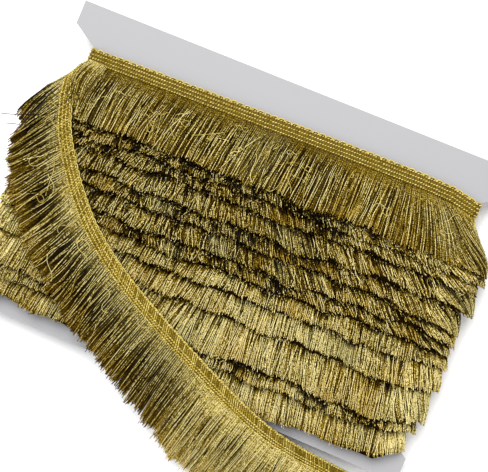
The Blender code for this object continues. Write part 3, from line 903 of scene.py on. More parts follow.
def chain_stitch_tree():
    """A slanted stitch on each point."""
    sizes = {key: "Float" for key in ("Length", "Width", "Height", "Slant")}
    tree, builder, wires = new_tree("chain_stitch", **sizes)
    bead = builder.node("GeometryNodeMeshIcoSphere", sockets={"Radius": 0.5, "Subdivisions": 1})
    size = builder.combine(wires["Length"], wires["Width"], wires["Height"])
    turn = builder.combine(0.0, 0.0, wires["Slant"])
    bead = builder.node("GeometryNodeTransform", sockets={"Geometry": bead, "Scale": size})
    bead = builder.node("GeometryNodeTransform", sockets={"Geometry": bead, "Rotation": turn})
    finish_tree(builder, placed(builder, wires, bead), wires)
    return tree


def picot_tree():
    """A small yarn loop on each point, out over the heading's edge."""
    tree, builder, wires = new_tree("picot", Width="Float", Reach="Float", Thickness="Float")
    sweep = {"Resolution": 8, "Radius": 1.0, "Start Angle": -0.30, "Sweep Angle": math.pi + 0.60}
    arc = builder.node("GeometryNodeCurveArc", {"mode": "RADIUS"}, sweep)
    size = builder.combine(wires["Width"] * 0.5, wires["Reach"], 1.0)
    arc = builder.node("GeometryNodeTransform", sockets={"Geometry": arc, "Scale": size})
    tube = {"Curve": arc, "Profile Curve": round_section(builder, wires["Thickness"], 4), "Fill Caps": True}
    loop = builder.node("GeometryNodeCurveToMesh", sockets=tube)
    finish_tree(builder, placed(builder, wires, loop), wires)
    return tree


TREES = {"spun_yarn": spun_yarn_tree, "chain_stitch": chain_stitch_tree, "picot": picot_tree}


def grow(item, tree_name, **inputs):
    """Runs a geometry tree on an object, and leaves a plain mesh on it."""
    tree = bpy.data.node_groups.get(tree_name) or TREES[tree_name]()
    modifier = item.modifiers.new(tree_name, "NODES")
    modifier.node_group = tree
    for socket in tree.interface.items_tree:
        if socket.in_out == "INPUT" and socket.name in inputs:
            modifier[socket.identifier] = inputs[socket.name]
    evaluated = item.evaluated_get(bpy.context.evaluated_depsgraph_get())
    mesh = bpy.data.meshes.new_from_object(evaluated)
    item.modifiers.remove(modifier)
    guide = item.data
    item.data = mesh
    mesh.name = item.name
    bpy.data.meshes.remove(guide)
    if not mesh.polygons:
        raise RuntimeError(f"{item.name} came out empty")
    return item


def spun(name, groups, thickness, material, sides=3):
    """A piece of yarns spun along guide lines."""
    return grow(guide_lines(name, groups), "spun_yarn", Thickness=thickness, Sides=sides, Material=material)


def settle(item, slot, *nodes):
    """Makes a finished piece ride with the frame, and hides the frame's nodes that are given with it."""
    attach(item, BODY)
    if nodes:
        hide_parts(*nodes)


def lofted(name, rows, closed_rows, material):
    """A closed mesh over rows of equal length, each a closed section."""
    rows = np.asarray(rows, float)
    count, width = rows.shape[:2]
    last = count if closed_rows else count - 1
    here = np.arange(last)[:, None] * width + np.arange(width)[None, :]
    there = (np.arange(last)[:, None] + 1) % count * width + np.arange(width)[None, :]
    quads = np.stack([here, np.roll(here, -1, axis=1), np.roll(there, -1, axis=1), there], axis=-1)
    faces = [tuple(face) for face in quads.reshape(-1, 4).tolist()]
    if not closed_rows:
        faces.append(tuple(reversed(range(width))))
        faces.append(tuple(range((count - 1) * width, count * width)))
    mesh = bpy.data.meshes.new(name)
    mesh.from_pydata(rows.reshape(-1, 3).tolist(), [], faces)
    mesh.materials.append(material)
    mesh.shade_smooth()
    turn_outwards(mesh)
    return show(name, mesh)


def turn_outwards(mesh):
    """Turns a closed mesh's faces so that they point out of it."""
    shape = bmesh.new()
    shape.from_mesh(mesh)
    bmesh.ops.recalc_face_normals(shape, faces=shape.faces)
    shape.to_mesh(mesh)
    shape.free()


# The wound pile

def pile_yarns(draw, index, span, count, steps, looks):
    """The yarns of one tier along a span of the loop, laid on the tier's face in a few layers."""
    tier = TIERS[index]
    low = tier.lie == "low"
    wild = LOW_CALM if low else 1.0
    place = spread_evenly(draw, *span, count)
    share = np.linspace(0.0, 1.0, steps)
    layers = layered(draw, count, looks.every, looks.dim + (LOW_LIGHT if low else 0.0))
    lock = gather(draw, place, looks.clump)

    # Where the yarns lie: down their tier's face, leaning, drawn to their clumps and wavy
    stray = wild * (0.06 * drift(draw, place, length=0.012) + draw.normal(0.0, looks.stray, count))
    lean = lean_at(index, place) + stray
    tips = worn_line(index, place) + 0.0006 * lock.reach + draw.normal(0.0, 0.0009, count)
    tips = tips + 0.0014 * layers.depth
    if index == 0:
        above = band_edge(place) - HEADING_WIDTH + PILE_TUCK
        root = above
    else:
        above = worn_line(index - 1, place)
        root = above + ROOT_HIDDEN
    y = root[:, None] + np.outer(tips - root, share)
    at = place[:, None] - lean[:, None] * (y - tips[:, None])
    at = at + np.outer(lock.way * lock.pull * 0.20 * wild, share**1.2)
    at = at + waves(draw, place, share, size=0.0009 * wild)
    lift = PILE_LIFT - PILE_DEPTH * layers.depth + draw.normal(0.0, 0.0002, count)
    flare = np.outer(draw.random(count) ** 4 * 0.0022, share**3)
    lift = lift[:, None] + flare
    front, side = tier_stand(index, at, y)
    points = stand_off(at, y, front + lift, side + lift)

    # How they look: painted light and shade along the front, painted shade where the cut face above comes
    # down over them, and warmer at their tips
    tone = 0.06 * lock.tone + draw.normal(0.0, 0.30, count) + 0.06 * drift(draw, place, length=0.020)
    tone = tier.lit + YARN_TONE + tone * (0.4 + 0.6 * wild)
    shade = np.outer(layers.light * painted_light_at(index, place), np.ones(steps))
    if index:
        depth = tier.face * np.clip(1.0 + 0.6 * drift(draw, place, length=0.006), 0.1, 2.4)
        depth = depth * faded(index, place) * draw.uniform(0.4, 1.6, count)
        reach = above[:, None] - y
        shade = shade * (0.04 + 0.96 * ease(0.5 * depth[:, None], depth[:, None] + 0.0016, reach))
    # Painted shade on the lowest tier's tips, where their cut ends show
    if index == len(TIERS) - 1:
        shade = shade * (1.0 - 0.35 * ease(0.86, 1.0, share))
    warm = (looks.warm + 0.25 * drift(draw, place, length=0.018) + draw.normal(0.0, 0.15, count))[:, None]
    warm = warm + 0.12 * ease(0.6, 1.0, share)
    girth = np.where(layers.top, 0.90, 1.25) * draw.uniform(0.8, 1.15, count)
    girth = looks.girth * np.outer(girth, 1.0 - 0.15 * share)
    return Yarns(points, girth, tone[:, None], shade, warm)


def cut_ends(draw, index, span, density):
    """Cut yarn ends that stand up in the groove under the tips of the tier above."""
    depth = TIERS[index].face + GROOVE_MORE
    start, end = span
    count = int(depth * (end - start) * density)
    place = start + (end - start) * draw.random(count)
    reach = depth * draw.random(count)
    y = worn_line(index - 1, place) - reach + 0.0008
    lean = lean_at(index, place) + draw.normal(0.0, 0.8, count)
    length = draw.uniform(*CUT_BACK, count)
    back = np.stack([y + length, y], axis=-1)
    at = np.stack([place - lean * length, place], axis=-1)
    top = CUT_HEIGHT * (1.0 - reach / depth) + draw.normal(0.0002, 0.0007, count)
    lift = np.stack([top - CUT_DOWN, top], axis=-1)
    front, side = tier_stand(index, at, np.stack([y, y], axis=-1))
    points = stand_off(at, back, front + lift, side + lift)

    # Some catch the light, and the others are nearly lost in the groove
    spark = draw.random(count) > 0.60
    bright = np.where(spark, draw.uniform(0.55, 1.20, count), draw.uniform(0.02, 0.16, count))
    bright = bright * painted_light_at(index, place) ** 2 + 0.5 * (1.0 - faded(index, place))
    tone = np.where(spark, 0.30, -0.30) + draw.normal(0.0, 0.4, count)
    shade = np.stack([0.05 * bright, bright], axis=-1)
    warm = draw.normal(0.05, 0.25, count)[:, None]
    return Yarns(points, draw.uniform(0.95, 1.4, count)[:, None], tone[:, None], shade, warm)


def core_section(place):
    """Sections of the pile's dark inside at an array of places, from the header down and back. It never comes
    nearer the card's face and side edge than the least distances."""
    least_front = 0.0006
    least_side = 0.0004
    rows = []

    def add(index, y, dip=0.0):
        front, side = tier_stand(index, place, y)
        depth = CORE_INSET + dip
        front = np.maximum(front - depth, least_front)
        rows.append(stand_off(place, y, front, np.maximum(side - depth, least_side)))

    top = top_edge(place)
    first = tip_line(0, place)
    for share in np.linspace(0.0, 1.0, 12):
        add(0, top + (first - top) * share, dip=-CORE_INSET * max(0.0, 1.0 - 5.0 * share))
    for index in range(1, len(TIERS)):
        above = tip_line(index - 1, place)
        tips = tip_line(index, place)
        add(index, above + TIP_UNDERCUT, dip=HAIR)
        for share in (0.25, BELLY_AT, 0.75, 1.0):
            add(index, above + (tips - above) * share)
    heel = tip_line(len(TIERS) - 1, place) + 2 * TIP_UNDERCUT
    rows.append(stand_off(place, heel, TIERS[-1].front / 2, TIERS[-1].side / 2))
    rows.append(stand_off(place, heel + TIP_UNDERCUT, 0.0, 0.0))
    rows.append(stand_off(place, top - TIP_UNDERCUT, 0.0, 0.0))
    return np.stack(rows, axis=1)


# The fringes of the last turn and the loose end

def top_yarns(draw, count, steps):
    """The last turn's fringe, hung from its heading over the front and the right fold."""
    place = spread_evenly(draw, *TOP_SPAN, count)
    share = np.linspace(0.0, 1.0, steps)
    layers = layered(draw, count, TOP_LAY.every, TOP_LAY.dim)
    layers, between = partings(draw, layers, share, often=0.020)
    calm = ease(*CALM_FROM, place)
    lock = gather(draw, place, CLUMP)

    # Where the yarns lie: down over the first tier, with a few wild ones that lean out of line
    wild = (draw.random(count) > 0.96) * (1.0 - calm)
    lean = lean_at(0, place) + 0.020 * drift(draw, place, length=0.026) + draw.normal(0.0, 0.035, count)
    lean = lean + wild * draw.normal(0.0, 0.25, count)
    root = band_edge(place) - HEADING_WIDTH + ROOT_TUCK
    tips = worn_line(0, place) + 0.0007 * lock.reach + draw.normal(-0.0002, 0.0011, count)
    tips = tips + 0.0020 * layers.depth
    y = root[:, None] + np.outer(tips - root, share)
    bow = share * 0.6 + 0.4 * np.sin(math.pi * share * 0.5)
    at = place[:, None] + np.outer(lean * (root - tips), bow)
    at = at + np.outer(lock.way * lock.pull * 0.08, ease(0.15, 0.8, share))
    at = at + waves(draw, place, share, size=0.0007) * (1.0 - 0.4 * calm)[:, None]
    thick = TOP_SWELL * ease(0.0, 0.3, share) + TOP_ROOTS
    lift = np.outer(1.0 - 0.95 * layers.depth, thick) + wild[:, None] * 0.0008
    front, side = tier_stand(0, at, y)
    points = stand_off(at, y, front + lift, side + lift)

    # How they look: in even painted shade under the heading, opening below it into lit yarns on top and
    # shaded ones under them, with painted light and shade along the front
    tone = 0.03 * lock.tone + draw.normal(0.0, 0.20, count) + 0.05 * drift(draw, place, length=0.026)
    tone = tone * (1.0 - 0.4 * calm) + TOP_TONE
    tone = np.outer(tone, 0.5 + 0.5 * ease(0.1, 0.45, share)) + 0.08 * ease(0.15, 0.6, share)
    light = layers.light[:, None]
    open_up = np.outer(1.0 - 0.25 * calm, ease(0.03, 0.30, share))
    shade = 0.66 * (1.0 - open_up) * (0.85 + 0.15 * light) + light * open_up
    shade = shade * painted_light_at(0, place)[:, None] * surfacing(draw, count, share, depth=0.36) * between
    warm = (0.02 + draw.normal(0.0, 0.14, count) + 0.16 * drift(draw, place, length=0.024))[:, None]
    warm = warm + 0.30 * ease(0.70, 1.0, share)
    return Yarns(points, girths(draw, layers.top, TOP_LAY, share), tone, shade, warm)


def fan_yarns(draw, count, steps):
    """Yarns at the left end of the last turn's heading, which lie over the start of the loose end."""
    share = np.linspace(0.0, 1.0, steps)
    place = np.broadcast_to(share * (len(FAN) - 1), (count, steps))
    across = spread_evenly(draw, 0.0, 1.0, count)
    slip = across[:, None] + 0.05 * draw.normal(size=(count, 1)) * share
    layers = layered(draw, count, FAN_LAY.every, FAN_LAY.dim)
    outer = smooth_read(column(FAN, "outer"), place)
    inner = smooth_read(column(FAN, "inner"), place)
    points = outer + (inner - outer) * np.clip(slip, 0.0, 1.2)[..., None]
    points[..., 1] -= draw.normal(0.0, 0.004, (count, 1)) * share
    points[..., 2] += 0.0006 + 0.0016 * (1.0 - layers.depth)[:, None]
    tone = draw.normal(TOP_TONE, 0.20, (count, 1))
    shade = np.outer(layers.light, 1.15 - 0.10 * share)
    return Yarns(points + MIDDLE, girths(draw, layers.top, FAN_LAY, share), tone, shade, -0.05)


def smoothed(run):
    """How smoothly the loose end's fringe hangs along its heading: fully on its last part, towards the lower
    right, and less so where it first crosses the front."""
    return np.maximum(ease(0.27, 0.32, run), 0.45 * ease(0.06, 0.09, run) * ease(-0.16, -0.13, -run))


def loose_yarns(draw, count, steps):
    """The loose end's fringe, combed out from its heading. run is how far along the heading a yarn starts."""
    places, length = even_places(loose_ribbon, 0.0, LOOSE_END, count=600)
    run = spread_evenly(draw, 0.0, length, count)
    share = np.linspace(0.0, 1.0, steps)
    lock = gather(draw, run, CLUMP)
    layers = layered(draw, count, LOOSE_LAY.every, LOOSE_LAY.dim)
    smooth = smoothed(run)
    layers, between = partings(draw, layers, share, often=0.02 + 0.02 * smooth)
    drawn = run[:, None] + np.outer(lock.way * lock.pull * 0.10, ease(0.15, 0.8, share))
    at = np.interp(drawn, np.linspace(0.0, length, len(places)), places)
    points = loose_paths(draw, run, at, share, lock, layers.depth)

    # How they look: rough over the front's left, with patches of painted shade, and smooth towards the lower
    # right, paler there and brighter with painted light
    patch = np.clip(0.5 + 0.5 * drift(draw, run, length=0.020), 0.0, 1.0)
    rough = 1.0 - 0.85 * smooth
    tone = YARN_TONE + 0.04 * lock.tone + draw.normal(0.0, 0.22, count) + 0.46 * ease(0.27, 0.33, run)
    tone = np.outer(tone, 0.80 + 0.20 * ease(0.05, 0.35, share))
    even = 0.25 * (1.0 - ease(0.05, 0.30, share)) + 0.36 * smooth[:, None]
    even = np.clip(even, 0.0, 0.55)
    shade = layers.light[:, None] * (1.0 - even) + (1.00 + 0.22 * smooth)[:, None] * even
    # Painted light and shade: some shade on the rough part, light at the roots and towards the smooth tips
    shade = shade * (1.0 - 0.12 * ease(0.08, 0.12, run) * (1.0 - smooth))[:, None]
    shade = shade * (1.0 + np.outer(1.0 - 0.9 * smooth, 0.34 * (1.0 - ease(0.10, 0.35, share))))
    shade = shade * (1.0 + np.outer(smooth, 0.34 * share - 0.02))
    # Painted shade in patches mid-length, where clumps part and the deeper yarns show
    dark = np.where(layers.top, 0.25, 0.80) * patch * rough
    middle = ease(0.15, 0.40, share) * (1.0 - ease(0.60, 0.85, share))
    shade = shade * (1.0 - np.outer(dark, middle)) * surfacing(draw, count, share, depth=0.30) * between
    # Painted shade on the loose end's first stretch
    shade = shade * (0.78 + 0.28 * ease(0.05, 0.10, run))[:, None]
    warm = draw.normal(0.0, 0.12, count)[:, None] - 0.40 * np.outer(rough, 1.0 - ease(0.2, 0.75, share))
    warm = warm + 0.75 * np.outer(1.0 - 0.5 * smooth, ease(0.65, 1.0, share))
    return Yarns(points, girths(draw, layers.top, LOOSE_LAY, share), tone, shade, warm)


def loose_paths(draw, run, at, share, lock, depth):
    """The paths of the loose end's yarns from their roots, at rows of LOOSE, to their tips."""
    count, steps = at.shape
    wild = (draw.random(count) > 0.95) & (run > 0.05)
    wander = 1.15 - 0.65 * ease(0.16, 0.28, run)
    comb = loose_read("comb", at[:, 0]) + 1.8 * wander * drift(draw, run, length=0.014)
    comb = comb + wander * draw.normal(0.0, 1.8, count) + wild * draw.normal(0.0, 14.0, count)
    curve = read(CURVES, "row", at[:, 0], "degrees")
    curve = curve + wander * (draw.normal(0.0, 4.0, count) + 3.0 * drift(draw, run, length=0.012))
    bearing = np.radians(comb)[:, None] + np.outer(np.radians(curve), share - 0.5)
    reach = loose_read("reach", at[:, 0])
    reach = reach * (1.0 + 0.025 * lock.reach + draw.normal(0.0, 0.030, count) - 0.03 * depth)

    # A stride from point to point on the level, then down to the tip's height and never under the surface
    ribbon = loose_ribbon(at)
    root = ribbon.middle + ribbon.across * (HEADING_WIDTH / 2 - ROOT_TUCK)
    ways = pointing(bearing)
    stride = ways * (reach / (steps - 1))[:, None, None]
    points = root + np.cumsum(stride, axis=1) - stride[:, :1]
    points[..., 2] += (loose_read("tip", at) - root[..., 2]) * share**1.5
    swell = LOOSE_SWELL * ease(0.0, 0.35, share) * (1.0 - 0.4 * ease(0.7, 1.0, share))
    points[..., 2] += np.outer(0.6 - depth, LOOSE_ROOTS + swell) + np.outer(wild, 0.0008 * share)
    points[..., 2] = np.maximum(points[..., 2], HAIR + 0.0012 * (1.0 - depth)[:, None])
    sideways = ways[..., [1, 0, 2]] * (-1.0, 1.0, 1.0)
    return points + sideways * (waves(draw, run, share, size=0.0007) * wander[:, None])[..., None]


# Stray threads

def curl(draw, count, swing, steps):
    """How curly threads turn from their bearings along them, by about swing, in radians."""
    turn = draw.normal(0.0, swing, (count, 1))
    run = np.linspace(0.0, 1.0, steps)
    return turn * np.sin(2 * math.pi * (0.7 * run + draw.random((count, 1))))


def strays_over_top(draw, count, steps):
    """Threads that lie across the last turn's fringe."""
    place = draw.uniform(STRAY_INSET, FRONT - STRAY_INSET, count)
    root = band_edge(place) - HEADING_WIDTH
    tips = tip_line(0, place)
    y = root + (tips - root) * draw.uniform(0.15, 0.75, count)
    bearing = math.radians(-90) + draw.normal(-0.2, 0.8, count)
    step = (draw.uniform(*TOP_STRAYS.length, count) / (steps - 1))[:, None]
    bearing = bearing[:, None] + curl(draw, count, TOP_STRAYS.swing, steps)
    at = place[:, None] + np.cumsum(np.cos(bearing) * step, axis=1)
    down = y[:, None] + np.cumsum(np.sin(bearing) * step, axis=1)
    down = np.clip(down, tips[:, None] - 0.001, root[:, None])
    lift = TOP_STRAYS.lift + 0.0012 * draw.random(count)[:, None]
    front, side = tier_stand(0, at, down)
    points = stand_off(at, down, front + lift, side + lift)
    tone = draw.normal(TOP_STRAYS.tone, 0.25, count)[:, None]
    return Yarns(points, draw.uniform(*STRAY_GIRTH, count)[:, None], tone, 1.0, 0.0)


def strays_over_loose_end(draw, count, steps):
    """Threads that lie across the first half of the loose end's fringe."""
    at = draw.uniform(*STRAY_ROWS, count)
    middle = loose_ribbon(at).middle
    comb = np.radians(loose_read("comb", at))
    reach = loose_read("reach", at)
    out = pointing(comb)
    turn = curl(draw, count, LOOSE_STRAYS.swing, steps)
    bearing = (comb + draw.normal(0.3, 0.7, count))[:, None] + turn
    stride = (draw.uniform(*LOOSE_STRAYS.length, count) / (steps - 1))[:, None, None]
    start = out * (reach * draw.uniform(0.1, 0.6, count))[:, None]
    path = np.cumsum(pointing(bearing) * stride, axis=1) + start[:, None]
    share = np.clip(np.sum(path * out[:, None], axis=-1) / reach[:, None], 0.0, 1.0)
    points = middle[:, None] + path
    points[..., 2] += (loose_read("tip", at) - middle[:, 2])[:, None] * share**1.5 + LOOSE_STRAYS.lift
    tone = draw.normal(LOOSE_STRAYS.tone, 0.25, count)[:, None]
    return Yarns(points, draw.uniform(*STRAY_GIRTH, count)[:, None], tone, 1.0, 0.2)


# The two headings

# A heading: its pieces' first words, its node, its ribbon, and where it starts and ends there. fill is how
# light its ground is, its dark partly painted shade between the chains. slant is how far its inlaid yarns run
# along it, bright the light on them and broad their size. rows are its chains' shares of the width, first and
# last, turn the angle of their stitches, and picot how far its edge loops stand out.
Heading = namedtuple("Heading", "words node ribbon start end fill slant bright broad rows turn picot")
TOP_HEADING = Heading(
    words="last_turn",
    node="top_heading",
    ribbon=last_turn_ribbon,
    start=-BEND - HEADING_TUCK,
    end=LOOP - BEND / 2 - FOLD_GAP,
    fill=0.70,
    slant=0.0010,
    bright=0.60,
    broad=1.0,
    rows=((-0.40, -0.40), (-0.15, -0.15), (0.11, 0.11), (0.36, 0.36)),
    turn=math.radians(30),
    picot=0.0016,
)
LOOSE_HEADING = Heading(
    words="loose_end",
    node="loose_heading",
    ribbon=loose_ribbon,
    start=0.0,
    end=LOOSE_END,
    fill=0.50,
    slant=0.0080,
    bright=1.15,
    broad=1.15,
    rows=((-0.38, -0.44), (-0.13, 0.06), (0.12, 0.24), (0.37, 0.42)),
    turn=math.radians(18),
    picot=0.0007,
)


def heading_places(heading, spacing, parts=1):
    """Even places along a heading about spacing apart, each step parted in so many."""
    length = even_places(heading.ribbon, heading.start, heading.end, count=1)[1]
    return even_places(heading.ribbon, heading.start, heading.end, parts * int(length / spacing))[0]


def heading_band(heading, material):
    """The heading's ground: a thin closed band with a low crown, and its real length."""
    places, length = even_places(heading.ribbon, heading.start, heading.end, count=300)
    frames = heading.ribbon(places)
    shares = np.linspace(-0.5, 0.5, 9)
    half = 0.30 * HEADING_THICKNESS
    profile = [(share, half * (1.0 - 0.9 * (2 * share) ** 6)) for share in shares]
    profile += [(share, -half) for share in shares[::-2]]
    rows = [
        frames.middle + frames.across * share * HEADING_WIDTH + frames.facing * height
        for share, height in profile
    ]
    return lofted(heading.words + "_heading", np.stack(rows, axis=1), False, material), length


def inlaid_yarns(heading, sizes, material):
    """The fringe's yarns where they lie across the heading, side by side under its chains."""
    draw = np.random.default_rng(41)
    places = heading_places(heading, heading.broad * sizes.inlay)
    frames = heading.ribbon(places)
    shares = np.array([-0.50, -0.30, 0.0, 0.30, 0.53])
    crown = np.array([0.08, 0.22, 0.24, 0.22, 0.12]) * HEADING_THICKNESS
    along = heading.slant * shares + draw.normal(0.0, 0.0002, (len(places), len(shares)))
    points = frames.middle[:, None, :] + frames.across[:, None, :] * (shares * HEADING_WIDTH)[:, None]
    points = points + frames.facing[:, None, :] * crown[:, None] + frames.along[:, None, :] * along[..., None]
    tone = np.clip(draw.normal(0.0, 0.30, (len(places), 1)), -0.40, 0.30)
    shade = np.array([0.70, 0.90, 0.90, 0.85, 0.75]) * heading.bright
    yarns = Yarns(points, 1.05 * heading.broad**1.5, tone, shade, 0.0)
    return spun(heading.words + "_inlay", [yarns], sizes.thread, material, sides=4)


def chain_rows(heading, sizes, material):
    """Rows of chain stitches along the heading, each row half a stitch on from the last. A row runs at its
    first share of the width where the heading starts, and eases to its second by the heading's middle."""
    draw = np.random.default_rng(3)
    fine = heading_places(heading, sizes.stitch, parts=2)
    rows = []
    for number, (first, last) in enumerate(heading.rows):
        places = fine[number % 2::2]
        run = np.linspace(0.0, 1.0, len(places))
        rows.append((places, first + (last - first) * ease(0.30, 0.50, run)))
    places = np.concatenate([row[0] for row in rows])
    across = np.concatenate([row[1] for row in rows]) + draw.normal(0.0, 0.008, len(places))
    height = CHAIN_HEIGHT * HEADING_THICKNESS
    points = mark_points(heading.words + "_chains", heading.ribbon(places), across, height)
    carry(points.data, "tone", draw.normal(0.0, 1.0, len(places)))
    stitch = {"Length": 1.04 * sizes.stitch, "Width": 1.60 * sizes.thread, "Height": 2.0 * sizes.thread}
    return grow(points, "chain_stitch", Slant=heading.turn, Material=material, **stitch)


def picots(heading, sizes, material):
    """Small yarn loops along the heading's free edge."""
    places = heading_places(heading, sizes.picot)
    across = np.full(len(places), PICOT_SHARE)
    points = mark_points(heading.words + "_picots", heading.ribbon(places), across, PICOT_HEIGHT)
    loop = {"Width": 0.90 * sizes.picot, "Reach": heading.picot, "Thickness": 1.3 * sizes.thread}
    return grow(points, "picot", Material=material, **loop)


def knit(context, heading):
    """The heading's band, its length, and the yarns, chains and loops that ride on it, all settled."""
    sizes = context.scene.trim_sizes
    colours = context.scene.trim_colours
    thread = stitch_material(heading.node + "_thread", colours)
    yarn = yarn_material(heading.node + "_yarn", colours, INLAY_FLECK_GLINT)
    band, length = heading_band(heading, band_material(heading.node + "_ground", colours, heading.fill))
    settle(band, heading.node + "_knit", heading.node)
    pieces = [
        inlaid_yarns(heading, sizes, yarn),
        chain_rows(heading, sizes, thread),
        picots(heading, sizes, thread),
    ]
    for piece in pieces:
        settle(piece, heading.node + "_knit")
    return band, length, pieces


# The sizes and colours that a user would change

class TrimSizes(bpy.types.PropertyGroup):
    """Sizes and counts of the trim's yarns and stitches"""

    yarn: FloatProperty(
        name="Yarn", description="Thickness of a fringe yarn", default=0.00096, min=0.0003, unit="LENGTH"
    )
    thread: FloatProperty(
        name="Thread", description="Thickness of a heading thread", default=0.00080, min=0.0003, unit="LENGTH"
    )
    pile_count: IntProperty(
        name="Pile yarns", description="Yarns in each tier along the front", default=1100, min=50
    )
    top_count: IntProperty(
        name="Last turn's yarns", description="Yarns in the last turn's fringe", default=2100, min=50
    )
    loose_count: IntProperty(
        name="Loose end's yarns", description="Yarns in the loose end's fringe", default=3000, min=50
    )
    stray_count: IntProperty(
        name="Stray threads", description="Curly threads that lie across the fringe", default=34, min=0
    )
    stitch: FloatProperty(
        name="Stitch", description="Length of a chain stitch", default=0.0023, min=0.001, unit="LENGTH"
    )
    inlay: FloatProperty(
        name="Inlay", description="Spacing of the inlaid yarns", default=0.0018, min=0.0005, unit="LENGTH"
    )
    picot: FloatProperty(
        name="Picots", description="Spacing of the edge loops", default=0.0060, min=0.002, unit="LENGTH"
    )


class TrimColours(bpy.types.PropertyGroup):
    """Colours of the yarns and the card"""

    deep: FloatVectorProperty(
        name="Deep", description="Yarns in deep shade", subtype="COLOR", default=(0.020, 0.008, 0.0)
    )
    brown: FloatVectorProperty(
        name="Brown", description="Shaded yarns", subtype="COLOR", default=(0.110, 0.062, 0.001)
    )
    gold: FloatVectorProperty(
        name="Gold", description="Main colour of the yarns", subtype="COLOR", default=(0.400, 0.285, 0.028)
    )
    straw: FloatVectorProperty(
        name="Straw", description="Bright yarns", subtype="COLOR", default=(0.800, 0.670, 0.230)
    )
    pale: FloatVectorProperty(
        name="Pale", description="Brightest yarns", subtype="COLOR", default=(0.900, 0.800, 0.400)
    )
    amber: FloatVectorProperty(
        name="Amber", description="Warm ends of the yarns", subtype="COLOR", default=(0.500, 0.285, 0.010)
    )
    sage: FloatVectorProperty(
        name="Sage", description="Cool, pale yarns", subtype="COLOR", default=(0.480, 0.430, 0.170)
    )
    board: FloatVectorProperty(
        name="Board", description="The card", subtype="COLOR", default=(0.322, 0.318, 0.328)
    )
    twist: FloatProperty(
        name="Twist", description="Length of one turn of the ply", default=0.0021, min=0.0003, unit="LENGTH"
    )

# Operators

class TRIM_OT_card(bpy.types.Operator):
    """Give the bare card its coated board surface"""

    bl_idname = "trim.card"
    bl_label = "Card"

    def execute(self, context):
        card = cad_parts["card"]
        card.data.materials.clear()
        card.data.materials.append(board_material("coated_board", context.scene.trim_colours))
        return {"FINISHED"}


class TRIM_OT_core(bpy.types.Operator):
    """Make the dark inside of the wound pile under its yarns, a sheet in painted shade"""

    bl_idname = "trim.core"
    bl_label = "Pile core"

    def execute(self, context):
        places = np.concatenate([
            np.linspace(*span, count, endpoint=False) for span, count in CORE_SECTIONS
        ])
        material = shaded_core_material("pile_core", context.scene.trim_colours)
        core = lofted("pile_core", core_section(places), True, material)
        settle(core, "wound_fringe", "winding")
        return {"FINISHED"}


class TRIM_OT_pile(bpy.types.Operator):
    """Lay the cut yarns of the wound turns in tiers, along the front, the folds and the back"""

    bl_idname = "trim.pile"
    bl_label = "Wound pile"

    def execute(self, context):
        sizes = context.scene.trim_sizes
        material = yarn_material("wound_yarn", context.scene.trim_colours, WOUND_FLECK_GLINT)
        for number, pile in enumerate(PILES):
            draw = np.random.default_rng(20 + number)
            count = int(sizes.pile_count * pile.density)
            yarns = [
                pile_yarns(draw, index, span, count, pile.steps, pile.looks)
                for index in pile.tiers
                for span in pile.spans
            ]
            settle(spun(pile.piece, yarns, sizes.yarn, material), "wound_fringe", "winding")
        draw = np.random.default_rng(31)
        ends = [cut_ends(draw, index, *row) for index in range(1, len(TIERS)) for row in CUT_ENDS]
        settle(spun("pile_cut_ends", ends, sizes.yarn, material), "wound_fringe", "winding")
        return {"FINISHED"}


class TRIM_OT_top_fringe(bpy.types.Operator):
    """Hang the last turn's fringe over the front and the right fold"""

    bl_idname = "trim.top_fringe"
    bl_label = "Last turn's fringe"

    def execute(self, context):
        sizes = context.scene.trim_sizes
        material = yarn_material("top_yarn", context.scene.trim_colours, TOP_FLECK_GLINT)
        draw = np.random.default_rng(7)
        yarns = [top_yarns(draw, sizes.top_count, steps=8), fan_yarns(draw, count=110, steps=8)]
        settle(spun("last_turn_fringe", yarns, sizes.yarn, material), "top_fringe_yarn", "top_fringe")
        return {"FINISHED"}


class TRIM_OT_loose_fringe(bpy.types.Operator):
    """Comb out the loose end's fringe"""

    bl_idname = "trim.loose_fringe"
    bl_label = "Loose end's fringe"

    def execute(self, context):
        sizes = context.scene.trim_sizes
        material = yarn_material("loose_yarn", context.scene.trim_colours, LOOSE_FLECK_GLINT)
        yarns = [loose_yarns(np.random.default_rng(11), sizes.loose_count, steps=7)]
        settle(spun("loose_end_fringe", yarns, sizes.yarn, material), "loose_fringe_yarn", "loose_fringe")
        return {"FINISHED"}


class TRIM_OT_top_heading(bpy.types.Operator):
    """Knit the last turn's heading round the card"""

    bl_idname = "trim.top_heading"
    bl_label = "Last turn's heading"

    def execute(self, context):
        band, length, pieces = knit(context, TOP_HEADING)
        return {"FINISHED"}


class TRIM_OT_loose_heading(bpy.types.Operator):
    """Knit the loose end's heading"""

    bl_idname = "trim.loose_heading"
    bl_label = "Loose end's heading"

    def execute(self, context):
        band, length, pieces = knit(context, LOOSE_HEADING)
        pieces.append(bpy.data.objects["loose_end_fringe"])
        return {"FINISHED"}


class TRIM_OT_strays(bpy.types.Operator):
    """Scatter curly stray threads over the fringe"""

    bl_idname = "trim.strays"
    bl_label = "Stray threads"

    def execute(self, context):
        sizes = context.scene.trim_sizes
        material = yarn_material("stray_thread", context.scene.trim_colours, STRAY_FLECK_GLINT)
        draw = np.random.default_rng(17)
        steps = 13
        threads = [
            strays_over_top(draw, sizes.stray_count, steps),
            strays_over_loose_end(draw, sizes.stray_count // 2, steps),
        ]
        settle(spun("stray_threads", threads, sizes.yarn, material), "top_fringe_yarn")
        return {"FINISHED"}


